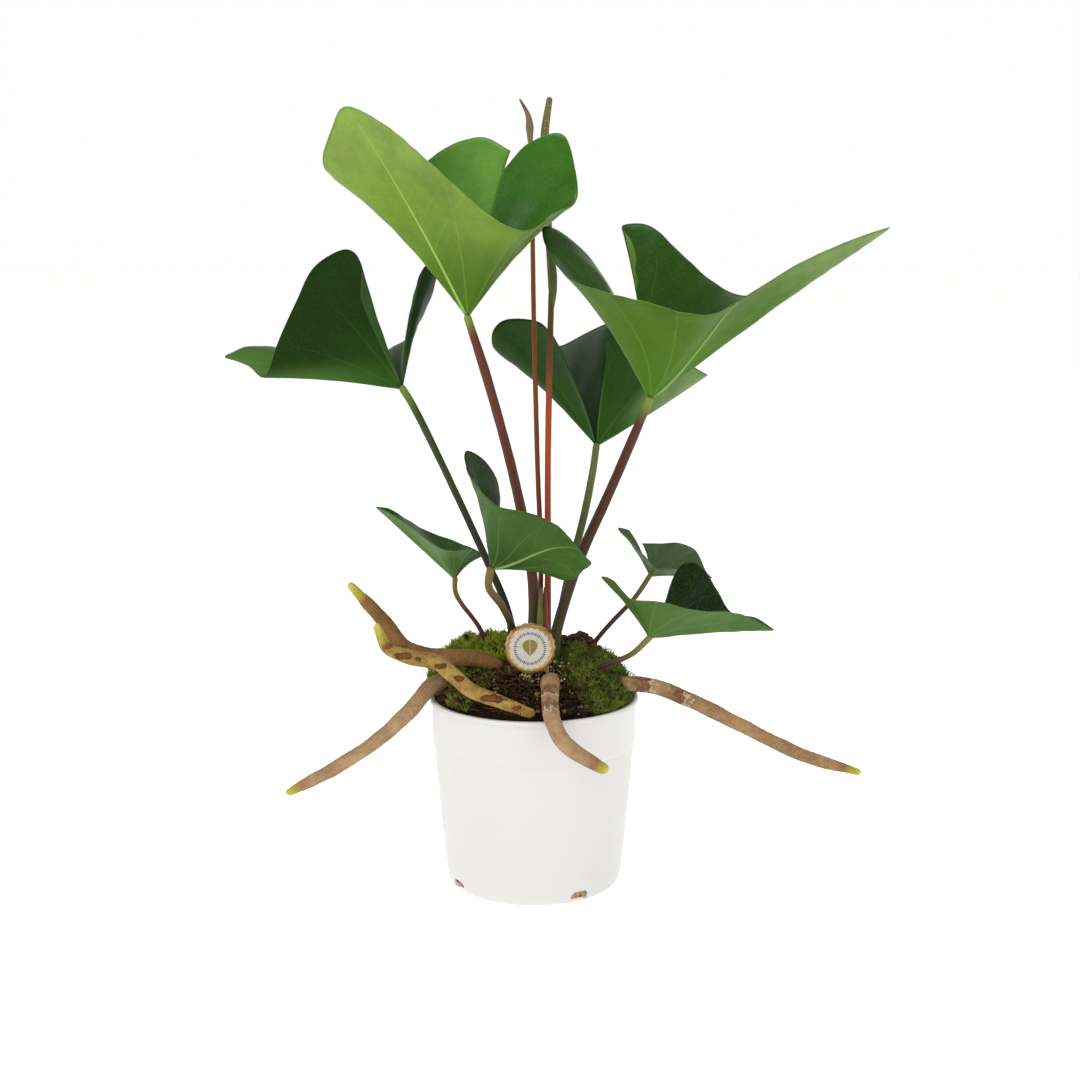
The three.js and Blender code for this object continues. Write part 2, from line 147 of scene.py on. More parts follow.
def finished(piece, slot, *nodes):
    """Puts a piece on the plant's one body, in place of its CAD nodes."""
    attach(piece, "root")
    if nodes:
        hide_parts(*nodes)
    return piece


# ---------------------------------------------------------------- shader helpers
def linear(code):
    """A six-digit sRGB colour code as a linear colour."""
    parts = [int(code[i:i + 2], 16) / 255 for i in (1, 3, 5)]
    return tuple(c / 12.92 if c <= 0.04045 else ((c + 0.055) / 1.055) ** 2.4 for c in parts) + (1.0,)


# Each node in use: its type, the inputs that are given in order, the output that is read,
# and its settings. A kind in capitals is an operation of the Math node.
NODES = {
    "mix": ("ShaderNodeMix", (0, 6, 7), 2, {"data_type": "RGBA"}),
    "ramp": ("ShaderNodeMapRange", (0, 1, 2, 3, 4), 0, {"interpolation_type": "SMOOTHSTEP"}),
    "mark": ("ShaderNodeAttribute", (), "Fac", {}),
    "place": ("ShaderNodeTexCoord", (), "Object", {}),
    "direction": ("ShaderNodeTexCoord", (), "Generated", {}),
    "height": ("ShaderNodeSeparateXYZ", (0,), "Z", {}),
    "combine": ("ShaderNodeCombineXYZ", (0, 1, 2), 0, {}),
    "stretch": ("ShaderNodeMapping", ("Vector", "Scale"), 0, {}),
    "noise": ("ShaderNodeTexNoise", ("Vector", "Scale", "Detail", "Roughness"), 0, {}),
    "cells": ("ShaderNodeTexVoronoi", ("Vector", "Scale"), 0, {}),
    "bump": ("ShaderNodeBump", ("Height", "Distance", "Strength"), 0, {}),
}


def add(tree, kind, *values, **settings):
    """Adds one node, sets its settings and inputs, and returns the output that is read."""
    if kind.isupper():
        settings["operation"] = kind
        kind, sockets, out, fixed = "ShaderNodeMath", (0, 1), 0, {}
    else:
        kind, sockets, out, fixed = NODES[kind]
    node = tree.nodes.new(kind)
    for key, value in {**fixed, **settings}.items():
        setattr(node, key, value)
    for key, value in zip(sockets, values):
        if isinstance(value, bpy.types.NodeSocket):
            tree.links.new(value, node.inputs[key])
        else:
            node.inputs[key].default_value = linear(value) if isinstance(value, str) else value
    return node.outputs[out]


def speckle(tree, size_mm, detail=3.0, roughness=0.55, stretch=(1, 1, 1)):
    """Noise of about this grain, on the object's own coordinates."""
    place = add(tree, "stretch", add(tree, "place"), stretch)
    return add(tree, "noise", place, 1 / (size_mm * MM), detail, roughness)


def lengthwise(tree, size_mm, around=3.0, detail=4.0):
    """Streaks that run along a rod, from the marks it carries."""
    along = add(tree, "DIVIDE", add(tree, "mark", attribute_name="run"), size_mm)
    sides = [add(tree, "MULTIPLY", add(tree, "mark", attribute_name=key), around)
             for key in ("across", "other")]
    return add(tree, "noise", add(tree, "combine", along, *sides), 1.0, detail, 0.65)


def finish(name, build):
    """A Principled material; build(tree) returns the values of its sockets."""
    material = bpy.data.materials.new(name)
    material.use_nodes = True
    tree = material.node_tree
    shader = tree.nodes["Principled BSDF"]
    for key, value in build(tree).items():
        socket = shader.inputs[key]
        if isinstance(value, bpy.types.NodeSocket):
            tree.links.new(value, socket)
        else:
            socket.default_value = linear(value) if isinstance(value, str) else value
    return material


# ---------------------------------------------------------------- leaf finish
LOBE_VEINS = (0.55, 1.1, 1.75, 2.5)  # angles from the midrib, in radians
VEIN_SWEEP = 0.16  # radians by which a lobe vein bends towards the midrib on its way out
LATERAL_SPACING = 15.0  # millimetres between the side veins along the midrib
LATERAL_SLANT = 0.7  # how far the side veins lean towards the tip
SHADOW_GREEN = "#142008"  # the darkest cells of a leaf


def fan_vein(tree, turn, reach, share, angle):
    """How strongly one vein shows; it leaves the joint at its angle and thins on its way."""
    is_midrib = angle == 0
    sweep = add(tree, "MULTIPLY", share, 0.0 if is_midrib else VEIN_SWEEP)
    own_turn = add(tree, "SUBTRACT", angle, sweep)
    off = add(tree, "ABSOLUTE", add(tree, "SUBTRACT", add(tree, "ABSOLUTE", turn), own_turn))
    gap = add(tree, "MULTIPLY", off, reach)
    at_joint, at_rim = (1.3, 0.4) if is_midrib else (0.7, 0.12)
    width = add(tree, "ramp", share, 0.0, 0.95, at_joint, at_rim)
    line = add(tree, "ramp", add(tree, "DIVIDE", gap, width), 0.35, 1.1, 1.0, 0.0)
    strength = (0.1, 0.95, 0.9, 0.35) if is_midrib else (0.2, 0.95, 0.16, 0.0)
    return add(tree, "MULTIPLY", line, add(tree, "ramp", share, *strength))


def side_veins(tree, turn, reach, share, across):
    """How strongly the even side veins beside the midrib show."""
    ahead = add(tree, "MULTIPLY", reach, add(tree, "COSINE", turn))
    leaning = add(tree, "SUBTRACT", ahead, add(tree, "MULTIPLY", across, LATERAL_SLANT))
    count = add(tree, "DIVIDE", leaning, LATERAL_SPACING)
    nearest = add(tree, "ABSOLUTE", add(tree, "SUBTRACT", add(tree, "FRACT", count), 0.5))
    line = add(tree, "ramp", nearest, 0.0, 0.03, 0.14, 0.0)
    inside = add(tree, "ramp", add(tree, "ABSOLUTE", turn), 0.5, 0.62, 1.0, 0.0)
    inside = add(tree, "MULTIPLY", inside, add(tree, "ramp", share, 0.9, 0.75))
    return add(tree, "MULTIPLY", line, inside)


def leaf_finish(name, upper, under, vein, heart, rim, far=None, painted_light_patch=None, band=0.0, gloss=0.3,
                shine=0.08, glow=0.1):
    """Living anthurium leaf, grown under its own wax. The upper side is dark and glossy, the
    underside paler and more matt, and a little light comes through the thin blade. Veins fan
    out from a light heart at the joint, and the rim is a thin pale line."""

    def build(tree):
        turn, reach, margin, side = (add(tree, "mark", attribute_name=key)
                                     for key in ("turn", "reach", "margin", "side"))
        share = add(tree, "DIVIDE", reach, add(tree, "mark", attribute_name="size"))
        across = add(tree, "ABSOLUTE", add(tree, "MULTIPLY", reach, add(tree, "SINE", turn)))

        def by_side(below, above):
            return add(tree, "ramp", side, -0.2, 0.2, below, above)

        veins = side_veins(tree, turn, reach, share, across)
        for angle in (0.0,) + LOBE_VEINS:
            veins = add(tree, "MAXIMUM", veins, fan_vein(tree, turn, reach, share, angle))

        ground = add(tree, "mix", by_side(0.0, 1.0), under, upper)
        # painted sheen: the underside is drawn paler and greyer towards the tip, where light shines along it
        if far:
            painted_tip_sheen = add(tree, "MULTIPLY", add(tree, "ramp", share, 0.45, 0.95), by_side(0.7, 0.0))
            ground = add(tree, "mix", painted_tip_sheen, ground, far)
        if painted_light_patch:
            # painted light: one lobe drawn paler, as if more light fell on it
            middle, width, colour, face = painted_light_patch
            off = add(tree, "ABSOLUTE", add(tree, "SUBTRACT", turn, middle))
            on_face = add(tree, "ramp", add(tree, "MULTIPLY", side, face), -0.2, 0.2)
            spot = add(tree, "MULTIPLY", add(tree, "ramp", off, width * 0.5, width, 0.9, 0.0), on_face)
            spot = add(tree, "MULTIPLY", spot, add(tree, "ramp", share, 0.1, 0.4))
            ground = add(tree, "mix", spot, ground, colour)
        # darker clouds and mottling, and a pale grain drawn coarse enough to show
        clouds = add(tree, "ramp", speckle(tree, 26, detail=2), 0.35, 0.7, 0.0, 0.24)
        mottling = add(tree, "ramp", speckle(tree, 5.5, detail=6, roughness=0.7), 0.42, 0.7, 0.0, 0.13)
        fine = speckle(tree, 1.6, detail=4, roughness=0.7)
        shade = add(tree, "mix", clouds, ground, SHADOW_GREEN)
        shade = add(tree, "mix", mottling, shade, SHADOW_GREEN)
        shade = add(tree, "mix", add(tree, "ramp", fine, 0.45, 0.75, 0.0, 0.09), shade, vein)
        shade = add(tree, "mix", add(tree, "ramp", across, 2.0, 20.0, band, 0.0), shade, vein)
        near = add(tree, "MULTIPLY", add(tree, "ramp", share, 0.02, 0.5, 0.85, 0.0), by_side(1.0, 0.35))
        shade = add(tree, "mix", near, shade, heart)
        shade = add(tree, "mix", add(tree, "MULTIPLY", veins, by_side(0.85, 0.6)), shade, vein)
        # the pale rim line is partly the margin's own paler tissue and partly a painted highlight along the
        # blade's edge
        shade = add(tree, "mix", add(tree, "ramp", margin, 0.15, 0.55, 0.55, 0.0), shade, rim)
        # veins stand out below and lie in grooves above
        relief = add(tree, "ADD", add(tree, "MULTIPLY", fine, 0.25),
                       add(tree, "MULTIPLY", veins, by_side(0.9, -0.5)))
        return {"Base Color": shade, "Roughness": by_side(gloss + 0.14, gloss),
                "Normal": add(tree, "bump", relief, 0.35 * MM, 0.7), "Specular IOR Level": shine,
                "Subsurface Weight": glow, "Subsurface Radius": (0.4, 1.0, 0.2),
                "Subsurface Scale": 0.0015}

    return finish(name, build)


# ---------------------------------------------------------------- leaf blades
# Millimetres. The joint is given above the pot's lip, and the margin from the joint: it
# runs from one side of the cleft, round the tip, to the other side. "tip" is the margin's
# point at the end of the midrib, "belly" bows the blade towards its open side, "bend" swings
# the midrib sideways in radians, and "sag" lowers the blade along the midrib. The lobe patch
# is painted light, one lobe drawn paler as if more light fell on it: a turn from the midrib,
# a width, a colour, and 1 for the upper side or -1 for the underside.
LEAVES = {
    "top": {
        "joint": (-36, -15, 216), "belly": 6, "tip": 7, "cells": 220,
        "margin": [
            (23, 42, 91), (8, 50, 99), (-11, 48, 94), (-33, 38, 79), (-58, 12, 71), (-74, -22, 81),
            (-68, -36, 100), (-60, -42, 110), (-40, -50, 100), (-19, -56, 83), (14, -52, 56),
            (33, -44, 48), (48, -26, 56), (59, 0, 62), (59, 18, 79), (52, 30, 100), (33, 30, 95),
            (20, 26, 81)],
        # painted light: far is a painted sheen on the underside towards the tip, and the patch paints light
        # on one lobe's upper side
        "finish": dict(upper="#37661C", under="#698730", vein="#A2BA62", heart="#3A5E06",
                       rim="#A0BA60", far="#89A350", painted_light_patch=(-2.3, 1.3, "#6E9E42", 1), glow=0.12)},
    "right": {
        "joint": (62, -45, 174), "belly": 6, "tip": 13, "cells": 240,
        "margin": [
            (-23, 39, 62), (-32, 34, 77), (-46, 24, 89), (-57, 12, 91), (-54, 0, 77),
            (-44, -16, 64), (-28, -30, 59), (-4, -40, 55), (14, -40, 49), (31, -36, 47),
            (48, -30, 56), (75, -22, 73), (102, -12, 85), (125, 0, 92), (105, 18, 81),
            (80, 32, 65), (56, 44, 53), (38, 52, 60), (21, 60, 76), (4, 66, 92), (-13, 66, 92),
            (-6, 58, 79), (0, 48, 57)],
        "bend": -0.5, "sag": 4.0,
        # painted sheen: far draws the underside paler and greyer towards the tip
        "finish": dict(upper="#26480F", under="#4A6C1A", vein="#88A45A", heart="#456A1A",
                       rim="#96AC6A", far="#849C60", glow=0.08)},
    "back": {
        "joint": (37, 60, 136), "belly": 4, "tip": 12, "cells": 180,
        "margin": [
            (-18, -22, 48), (-23, -24, 61), (-34, -20, 74), (-54, -6, 75), (-62, 2, 66),
            (-58, 14, 55), (-40, 34, 55), (-20, 50, 56), (4, 66, 67), (24, 78, 72), (44, 66, 59),
            (61, 40, 44), (67, 12, 41), (52, -6, 50), (30, -18, 58), (8, -24, 67), (5, -22, 52)],
        # painted light: the patch draws the underside paler round the midrib, lighter than the shade there
        # would leave it
        "sag": 4.0,
        "finish": dict(upper="#1E3A14", under="#24460E", vein="#628A46", heart="#264A10", rim="#527638",
                       painted_light_patch=(0.0, 0.55, "#6E8A50", -1), shine=0.09, glow=0.03)},
    "left": {
        "joint": (-74, 10, 175), "belly": 3, "tip": 9, "cells": 190,
        "margin": [
            (-21, -20, 52), (-20, -22, 71), (-29, -20, 78), (-47, -14, 68), (-58, -8, 49),
            (-69, 0, 28), (-79, 10, 6), (-89, 17, 11), (-97, 20, 14), (-104, 22, 16),
            (-99, 25, 18.5), (-92, 30, 21), (-78, 40, 20), (-53, 50, 16), (-26, 52, 14),
            (-7, 48, 21), (4, 42, 29), (15, 30, 53), (19, 18, 70), (12, 6, 67), (8, 0, 51)],
        "finish": dict(upper="#344E24", under="#152E06", vein="#4A6E2E", heart="#1E4008",
                       rim="#34541E", band=0.8, shine=0.06, glow=0.03)},
    "front": {
        "joint": (-23, -62, 85), "belly": 3, "tip": 11, "cells": 140, "bend": -0.4,
        "margin": [
            (4, 20, 34), (3, 20, 45), (-3, 14, 57), (-12, 2, 64), (-12, -6, 57), (-7, -14, 49),
            (4, -22, 38), (22, -26, 35), (36, -22, 28), (45, -12, 16), (50.5, -5, 8), (54, 0, 3),
            (50, 4, -1), (44, 9, -7), (35, 19, -7), (23, 31, 1)],
        "finish": dict(upper="#1A3012", under="#38581E", vein="#84A45E", heart="#1E3806",
                       rim="#5E7E44", shine=0.1, glow=0.05)},
    "small_left": {
        "joint": (-46, 25, 62), "belly": 2, "tip": 7, "cells": 110,
        "margin": [
            (16, 15, 11), (12, 22, 14), (-3, 24, 19), (-16, 20, 25), (-28, 12, 34), (-37, 5, 41),
            (-41.5, 2, 42.5), (-46, 0, 43), (-40, -2.5, 41), (-31, -6, 36), (-19, -11, 28),
            (-9, -14, 22), (1, -14, 20), (11, -4, 19)],
        "finish": dict(upper="#2A4620", under="#5C7A46", vein="#8CAA6E", heart="#456A2C",
                       rim="#64864C", glow=0.05)},
    "small_right_back": {
        "joint": (68, 35, 62), "belly": 2, "tip": 5, "cells": 100,
        "margin": [
            (-4, 16, 17), (7, 22, 16), (20, 20, 16), (29, 14, 12), (34, 6, 2), (37, 0, -1),
            (26, -8, 3), (14, -12, 7), (3, -12, 7), (-6, -8, 16), (-13, -4, 23), (-19, 0, 29),
            (-12, 5, 27)],
        "finish": dict(upper="#465C3A", under="#5E7052", vein="#869C74", heart="#3F5C2A",
                       rim="#55744A", glow=0.04)},
    "small_right": {
        "joint": (64, -30, 40), "belly": 2, "tip": 7, "cells": 130, "bend": -0.25,
        "margin": [
            (11, 20, 17), (17, 28, 31), (23, 32, 37), (32, 30, 34), (41, 24, 21), (48, 16, 11),
            (60, 8, 10), (70, 0, 4), (57, -6, 12), (45, -11, 17), (24, -16, 20), (4, -16, 24),
            (-11, -9, 25), (-21, -3, 34), (-27, 2, 34), (-20, 8, 26)],
        "finish": dict(upper="#12260C", under="#4C6A34", vein="#86A066", heart="#466428",
                       rim="#64824C", shine=0.1, glow=0.05)},
}
POT_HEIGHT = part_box("pot")[1].z / MM
LEAF_THICKNESS = 0.9
LEAF_ROWS = 34  # rows of vertices from the joint to the rim
LAST_ROW = 0.8  # the blade's thickness one row before the rim, as a share of the whole
JOINT_GAP = 1.0  # from the joint's centre to where the blade begins, inside the stalk's end
CLEFT_ROUNDING = 0.012  # share of the margin over which the blade thins at the cleft
GROOVE = (0.5, 1.6)  # depth and half width of the midrib's groove
QUILTING = 0.14  # height of the soft swell between side veins


def above_lip(points):
    return np.array(points, float) + (0, 0, POT_HEIGHT)


def there_and_back(values, sign=1):
    """Rows for the upper side out to the rim, then the same rows back for the underside."""
    return np.concatenate([values, sign * values[..., -2::-1]], axis=-1)


def leaf_blade(name, joint, belly, tip, cells, margin, finish, bend=0.0, sag=0.0):
    """A closed leaf of real thickness, whose rows run from the joint to its margin."""
    edge = Path(margin)
    centre = above_lip(joint)
    u = np.linspace(0, 1, cells + 1)
    spoke = edge.at(u)
    span = np.linalg.norm(spoke, axis=1)
    axis = np.array(margin, float).sum(0)
    axis /= np.linalg.norm(axis)
    heading = spoke / span[:, None]
    steps = np.arccos(np.clip((heading[1:] * heading[:-1]).sum(1), -1, 1))
    turn = np.concatenate([[0], np.cumsum(steps)])
    turn -= np.interp(edge.share_of(tip), u, turn)

    # the cupped sheet at mid thickness
    outward = np.linspace(0, 1, LEAF_ROWS) ** 0.9
    start = JOINT_GAP / span[:, None]
    t = start + (1 - start) * outward
    bow = belly * 4 * t * (1 - t)
    sheet = centre + spoke[:, None] * t[..., None] + axis * bow[..., None]
    sheet[..., 2] -= sag * 4 * t * (1 - t) * np.exp(-(turn[:, None] / 0.5) ** 2)
    normal = np.cross(np.gradient(sheet, axis=0), np.gradient(sheet, axis=1))
    normal /= np.maximum(np.linalg.norm(normal, axis=-1, keepdims=True), 1e-9)
    if (normal * axis).sum() < 0:
        normal = -normal

    # the midrib and the veins beside it may sweep sideways on their way to the tip
    reach = span[:, None] * t
    size = span.max()
    share = reach / size
    vein_turn = turn[:, None] - bend * 4 * share * (1 - share)
    across = np.abs(reach * np.sin(vein_turn))
    ahead = reach * np.cos(vein_turn)
    # gentle quilting between the side veins, a slow wave along the rim, and a groove
    phase = 2 * math.pi * (ahead - LATERAL_SLANT * across) / LATERAL_SPACING
    quilt = QUILTING * np.cos(phase + np.sin(ahead / 9) + np.sin(across / 11))
    quilt *= smooth(0.08, 0.3, share) * smooth(0.04, 0.25, np.abs(vein_turn))
    wave = np.sin(turn * 5 + size)[:, None] * smooth(0.5, 1, t) * size * 0.008
    groove = -GROOVE[0] * np.exp(-(reach * vein_turn / GROOVE[1]) ** 2) * smooth(1, 0.5, share)
    lift = (quilt + wave + groove) * (smooth(0, 0.03, u) * smooth(1, 0.97, u))[:, None]

    rise = np.concatenate([[0], np.ones(LEAF_ROWS - 3), [LAST_ROW, 0.0]])
    side = np.broadcast_to(there_and_back(rise, -1), (cells + 1, 2 * LEAF_ROWS - 1))
    cleft = smooth(0, CLEFT_ROUNDING, u) * smooth(1, 1 - CLEFT_ROUNDING, u)
    thickness = np.minimum(LEAF_THICKNESS, 0.07 * reach) * cleft[:, None]
    places = np.stack([
        there_and_back(sheet[..., k]) + there_and_back(normal[..., k])
        * (there_and_back(lift) + side * there_and_back(thickness) / 2) for k in range(3)], axis=-1)
    cleft_gap = reach * np.minimum(turn - turn[0], turn[-1] - turn)[:, None]
    bm = bmesh.new()
    moved_grid(bm, places, {
        "turn": there_and_back(vein_turn), "reach": there_and_back(reach),
        "margin": there_and_back(np.minimum(span[:, None] - reach, cleft_gap)), "side": side,
        "size": np.full(side.shape, size)})
    leaf = new_object(f"blade_{name}", bm, leaf_finish(f"anthurium leaf {name}", **finish))
    slot = "leaf_light" if name in ("top", "right") else "leaf_dark"
    return finished(leaf, slot, f"leaf_{name}")


# ---------------------------------------------------------------- rods: stalks, stems, roots
def rod(name, points, radii, material, sides=24, step=2.0, shape=None, marks=None):
    """A round rod along a smooth path, closed by rounded ends. shape(share, angle, path)
    gives the change of radius in millimetres. The rod carries its share and run along the
    path and the direction round it, for streaks that follow it."""
    path = Path(points)
    rounding = np.array([0, 0.04, 0.15, 0.35, 0.65, 1.0])
    count = max(4, round(path.length / step))
    body = np.linspace(radii[0], path.length - radii[-1], count)[1:-1]
    s = np.concatenate([rounding * radii[0], body, path.length - rounding[::-1] * radii[-1]])
    share = s / path.length
    radius = np.interp(share, np.linspace(0, 1, len(radii)), radii)
    near = np.minimum(s / radii[0], 1)
    far = np.minimum((path.length - s) / radii[-1], 1)
    radius = radius * np.sqrt(1 - (1 - near) ** 2) * np.sqrt(1 - (1 - far) ** 2)
    tangent = path.tangent(share)
    rise = path.at(1.0) - path.at(0.0)
    guide = np.array((0, 1, 0) if abs(rise[2]) > 0.7 * np.linalg.norm(rise) else (0, 0, 1), float)
    across = guide - tangent * (tangent @ guide)[:, None]
    across /= np.linalg.norm(across, axis=1, keepdims=True)
    other = np.cross(tangent, across)
    angle = np.linspace(0, 2 * math.pi, sides + 1)
    full = np.broadcast_to(radius, (sides + 1, len(s)))
    all_shares = np.broadcast_to(share, full.shape)
    all_angles = np.broadcast_to(angle[:, None], full.shape)
    if shape:
        bulge = shape(all_shares, all_angles, path)
        bulge[-1] = bulge[0]
        full = full + bulge * (radius > 0) * np.minimum(near, far)
    places = (path.at(share)[None] + across[None] * (full * np.cos(angle)[:, None])[..., None]
              + other[None] * (full * np.sin(angle)[:, None])[..., None])
    places[-1] = places[0]
    bm = bmesh.new()
    values = {"along": all_shares, "run": np.broadcast_to(s, full.shape),
              "across": np.cos(all_angles), "other": np.sin(all_angles)}
    values.update(marks(places) if marks else {})
    moved_grid(bm, places, values)
    return new_object(name, bm, material)


def rough(scale_mm, depth_mm, seed):
    """Change of radius from noise, the same all the way round the seam."""

    def shape(share, angle, path):
        centre = path.at(share)
        spots = centre + 6 * np.stack([np.cos(angle), np.sin(angle), 0 * angle], axis=-1)
        flat = spots.reshape(-1, 3) / scale_mm + seed
        values = np.array([noise.noise(Vector(p)) for p in flat])
        return depth_mm * values.reshape(share.shape)

    return shape


def stalk_finish(name, colours, streak="#2A1A10", roughness=0.42):
    """Living stalk with a thin smooth skin: a satin surface whose colour changes from foot
    to joint, with long fine streaks of darker fibre and a few pale pores."""

    def build(tree):
        along = add(tree, "mark", attribute_name="along")
        shade = colours[0][1]
        for (low, _), (high, colour) in zip(colours, colours[1:]):
            shade = add(tree, "mix", add(tree, "ramp", along, low, high), shade, colour)
        streaks = lengthwise(tree, 22, around=3.5)
        shade = add(tree, "mix", add(tree, "ramp", streaks, 0.45, 0.75, 0.0, 0.4), shade, streak)
        dots = speckle(tree, 0.7, detail=2)
        shade = add(tree, "mix", add(tree, "ramp", dots, 0.62, 0.75, 0.0, 0.2), shade, "#B9A47A")
        return {"Base Color": shade, "Roughness": roughness, "Specular IOR Level": 0.18,
                "Normal": add(tree, "bump", streaks, 0.25 * MM, 0.5)}

    return finish(name, build)


# routes above the pot's lip, from the crown to just under the joint; radii are spread evenly
# along them, and each colour holds from its share of the length
STALKS = {
    "top": {
        "route": [(-1, -7, 26), (0, -8, 57), (-3, -10, 87), (-12, -13, 132), (-25, -15, 181)],
        "radii": [3.5, 3.1, 3.0, 2.8, 2.6, 2.7, 2.4],
        "colours": [(0, "#4E5026"), (0.22, "#4A2A1A"), (0.93, "#5E3020"), (1.0, "#7A8A3A")]},
    "left": {
        "route": [(-10, 4, 19), (-15, 7, 47), (-25, 9, 72), (-48, 10, 123), (-66, 10, 161)],
        "radii": [2.6, 2.2, 2.1, 2.0, 2.0, 2.1, 2.1],
        "colours": [(0, "#1C140A"), (0.3, "#20220E"), (0.88, "#34421A"), (1.0, "#6A7A30")]},
    "right": {
        "route": [(11, -12, 19), (13, -18, 42), (25, -26, 83), (42, -34, 124), (55, -42, 157)],
        "radii": [3.6, 3.1, 3.0, 2.9, 2.7, 2.6, 2.4],
        "colours": [(0, "#465022"), (0.25, "#3A2C1C"), (0.9, "#4E2A1C"), (1.0, "#7A8438")]},
    "back": {
        "route": [(11, 7, 18), (19, 24, 59), (29, 42, 95), (35, 56, 122)],
        "radii": [2.5, 2.4, 2.3, 2.3, 2.2],
        "colours": [(0, "#33301A"), (0.5, "#464E24"), (1.0, "#66703A")]},
    "front": {
        "route": [(-9, -14, 18), (-11, -20, 40), (-17, -40, 60), (-24, -55, 74)],
        "radii": [2.3, 2.1, 2.0, 2.2, 2.1],
        "colours": [(0, "#34261A"), (0.5, "#4E3E26"), (1.0, "#6E5E34")]},
    "small_left": {
        "route": [(-25, 12, 16), (-31, 16, 34), (-42, 22, 48), (-46, 25, 55)],
        "radii": [1.6, 1.4, 1.4, 1.6],
        "colours": [(0, "#2A1C10"), (0.5, "#55281C"), (1.0, "#7A6430")]},
    "small_right_back": {
        "route": [(26, 14, 15), (42, 20, 34), (59, 30, 50)],
        "radii": [1.6, 1.4, 1.4, 1.6],
        "colours": [(0, "#2A1C12"), (0.5, "#4A2E24"), (1.0, "#6A6434")]},
    "small_right": {
        "route": [(24, -18, 14), (39, -24, 23), (54, -28, 30)],
        "radii": [1.7, 1.5, 1.6, 1.9],
        "colours": [(0, "#241A0E"), (0.4, "#3E2E1A"), (1.0, "#78743A")]},
}
JOINT_RADIUS = 2.1


def leaf_stalk(name, route, radii, colours):
    points = np.vstack([above_lip(route), above_lip(LEAVES[name]["joint"])])
    ahead = points[-1] - points[-2]
    points[-1] += ahead / np.linalg.norm(ahead) * JOINT_RADIUS
    radii = radii[:-1] + [min(radii[-1], JOINT_RADIUS)]
    material = stalk_finish(f"leaf stalk {name}", colours)
    stalk = rod(f"petiole_{name}", points, radii, material, shape=rough(9, 0.12, len(name)))
    return finished(stalk, "stalk", f"stalk_{name}")


# route above the lip, radii, material slot, and colours by share of the length
FLOWER_PARTS = {
    "flower_stem_young": (
        [(3, 4, 28), (4, 8, 77), (2, 14, 134), (0, 24, 213), (-1, 32, 280), (-2, 36, 313)],
        [1.5, 1.4, 1.3], "flower_stem", [(0, "#4A1E10"), (0.35, "#74391E"), (1.0, "#8E6030")]),
    "flower_stem_tall": (
        [(8, 0, 27), (8, 4, 78), (8, 12, 134), (9, 20, 190), (10, 26, 229)],
        [1.9, 1.8, 1.7], "flower_stem",
        [(0, "#8A3418"), (0.6, "#A8421F"), (0.85, "#5E4020"), (1.0, "#5A5226")]),
    "spathe_young": (
        [(-2, 36, 311.5), (-3, 38, 326), (-8, 40, 336)],
        [1.3, 2.3, 1.3, 0.5], "spathe", [(0, "#7A7A48"), (0.5, "#7A6A45"), (1.0, "#5E3A48")]),
    "spathe_green": (
        [(10, 25.4, 216), (11, 24.4, 226), (11, 23.6, 239), (8.5, 23.4, 253), (5, 22, 266)],
        [0.8, 1.9, 2.2, 1.6, 0.5], "spathe", [(0, "#6A6A38"), (0.5, "#4A5A25"), (1.0, "#3A4A22")]),
    "new_shoot": (
        [(3.5, -14, 22), (3.5, -14, 50), (4, -12, 65)],
        [1.9, 1.8, 1.5, 0.7], "stalk", [(0, "#5E6A2C"), (0.6, "#6A7630"), (1.0, "#525C28")]),
    "cataphyll_red": (
        [(6.2, -5.5, 27), (6.2, -5, 48), (6.5, -4.5, 64)],
        [2.3, 2.2, 1.8, 0.7], "flower_stem", [(0, "#5E3A1C"), (0.5, "#84502A"), (1.0, "#6A3A20")]),
}


def flower_part(name, points, radii, slot, colours):
    material = stalk_finish(name.replace("_", " "), colours)
    piece = rod(f"visual_{name}", above_lip(points), radii, material, sides=20, step=1.5,
                shape=rough(5, 0.08, len(name)))
    finished(piece, slot, name)


def spadix():
    """The long spadix, covered in tiny flowers set in close rows."""

    # fresh plant tissue grown as close-set beads, which break its sheen into small points
    def build(tree):
        cells = add(tree, "cells", add(tree, "place"), 1 / (0.9 * MM))
        shade = add(tree, "mix", add(tree, "ramp", cells, 0.1, 0.6), "#8C8640", "#5A5628")
        upper = add(tree, "ramp", add(tree, "mark", attribute_name="along"), 0.0, 0.5)
        shade = add(tree, "mix", upper, "#5A5A30", shade)
        return {"Base Color": shade, "Roughness": 0.6, "Normal": add(tree, "bump", cells, -0.4 * MM, 0.8)}

    points = [(10, 26, 227.5), (9, 28, 252), (7, 31, 280), (6, 34, 313), (9, 36, 337)]
    piece = rod("visual_spadix", above_lip(points), [1.6, 2.2, 2.6, 2.6, 1.7],
                finish("beaded spadix", build), step=1.0)
    finished(piece, "spadix", "spadix")


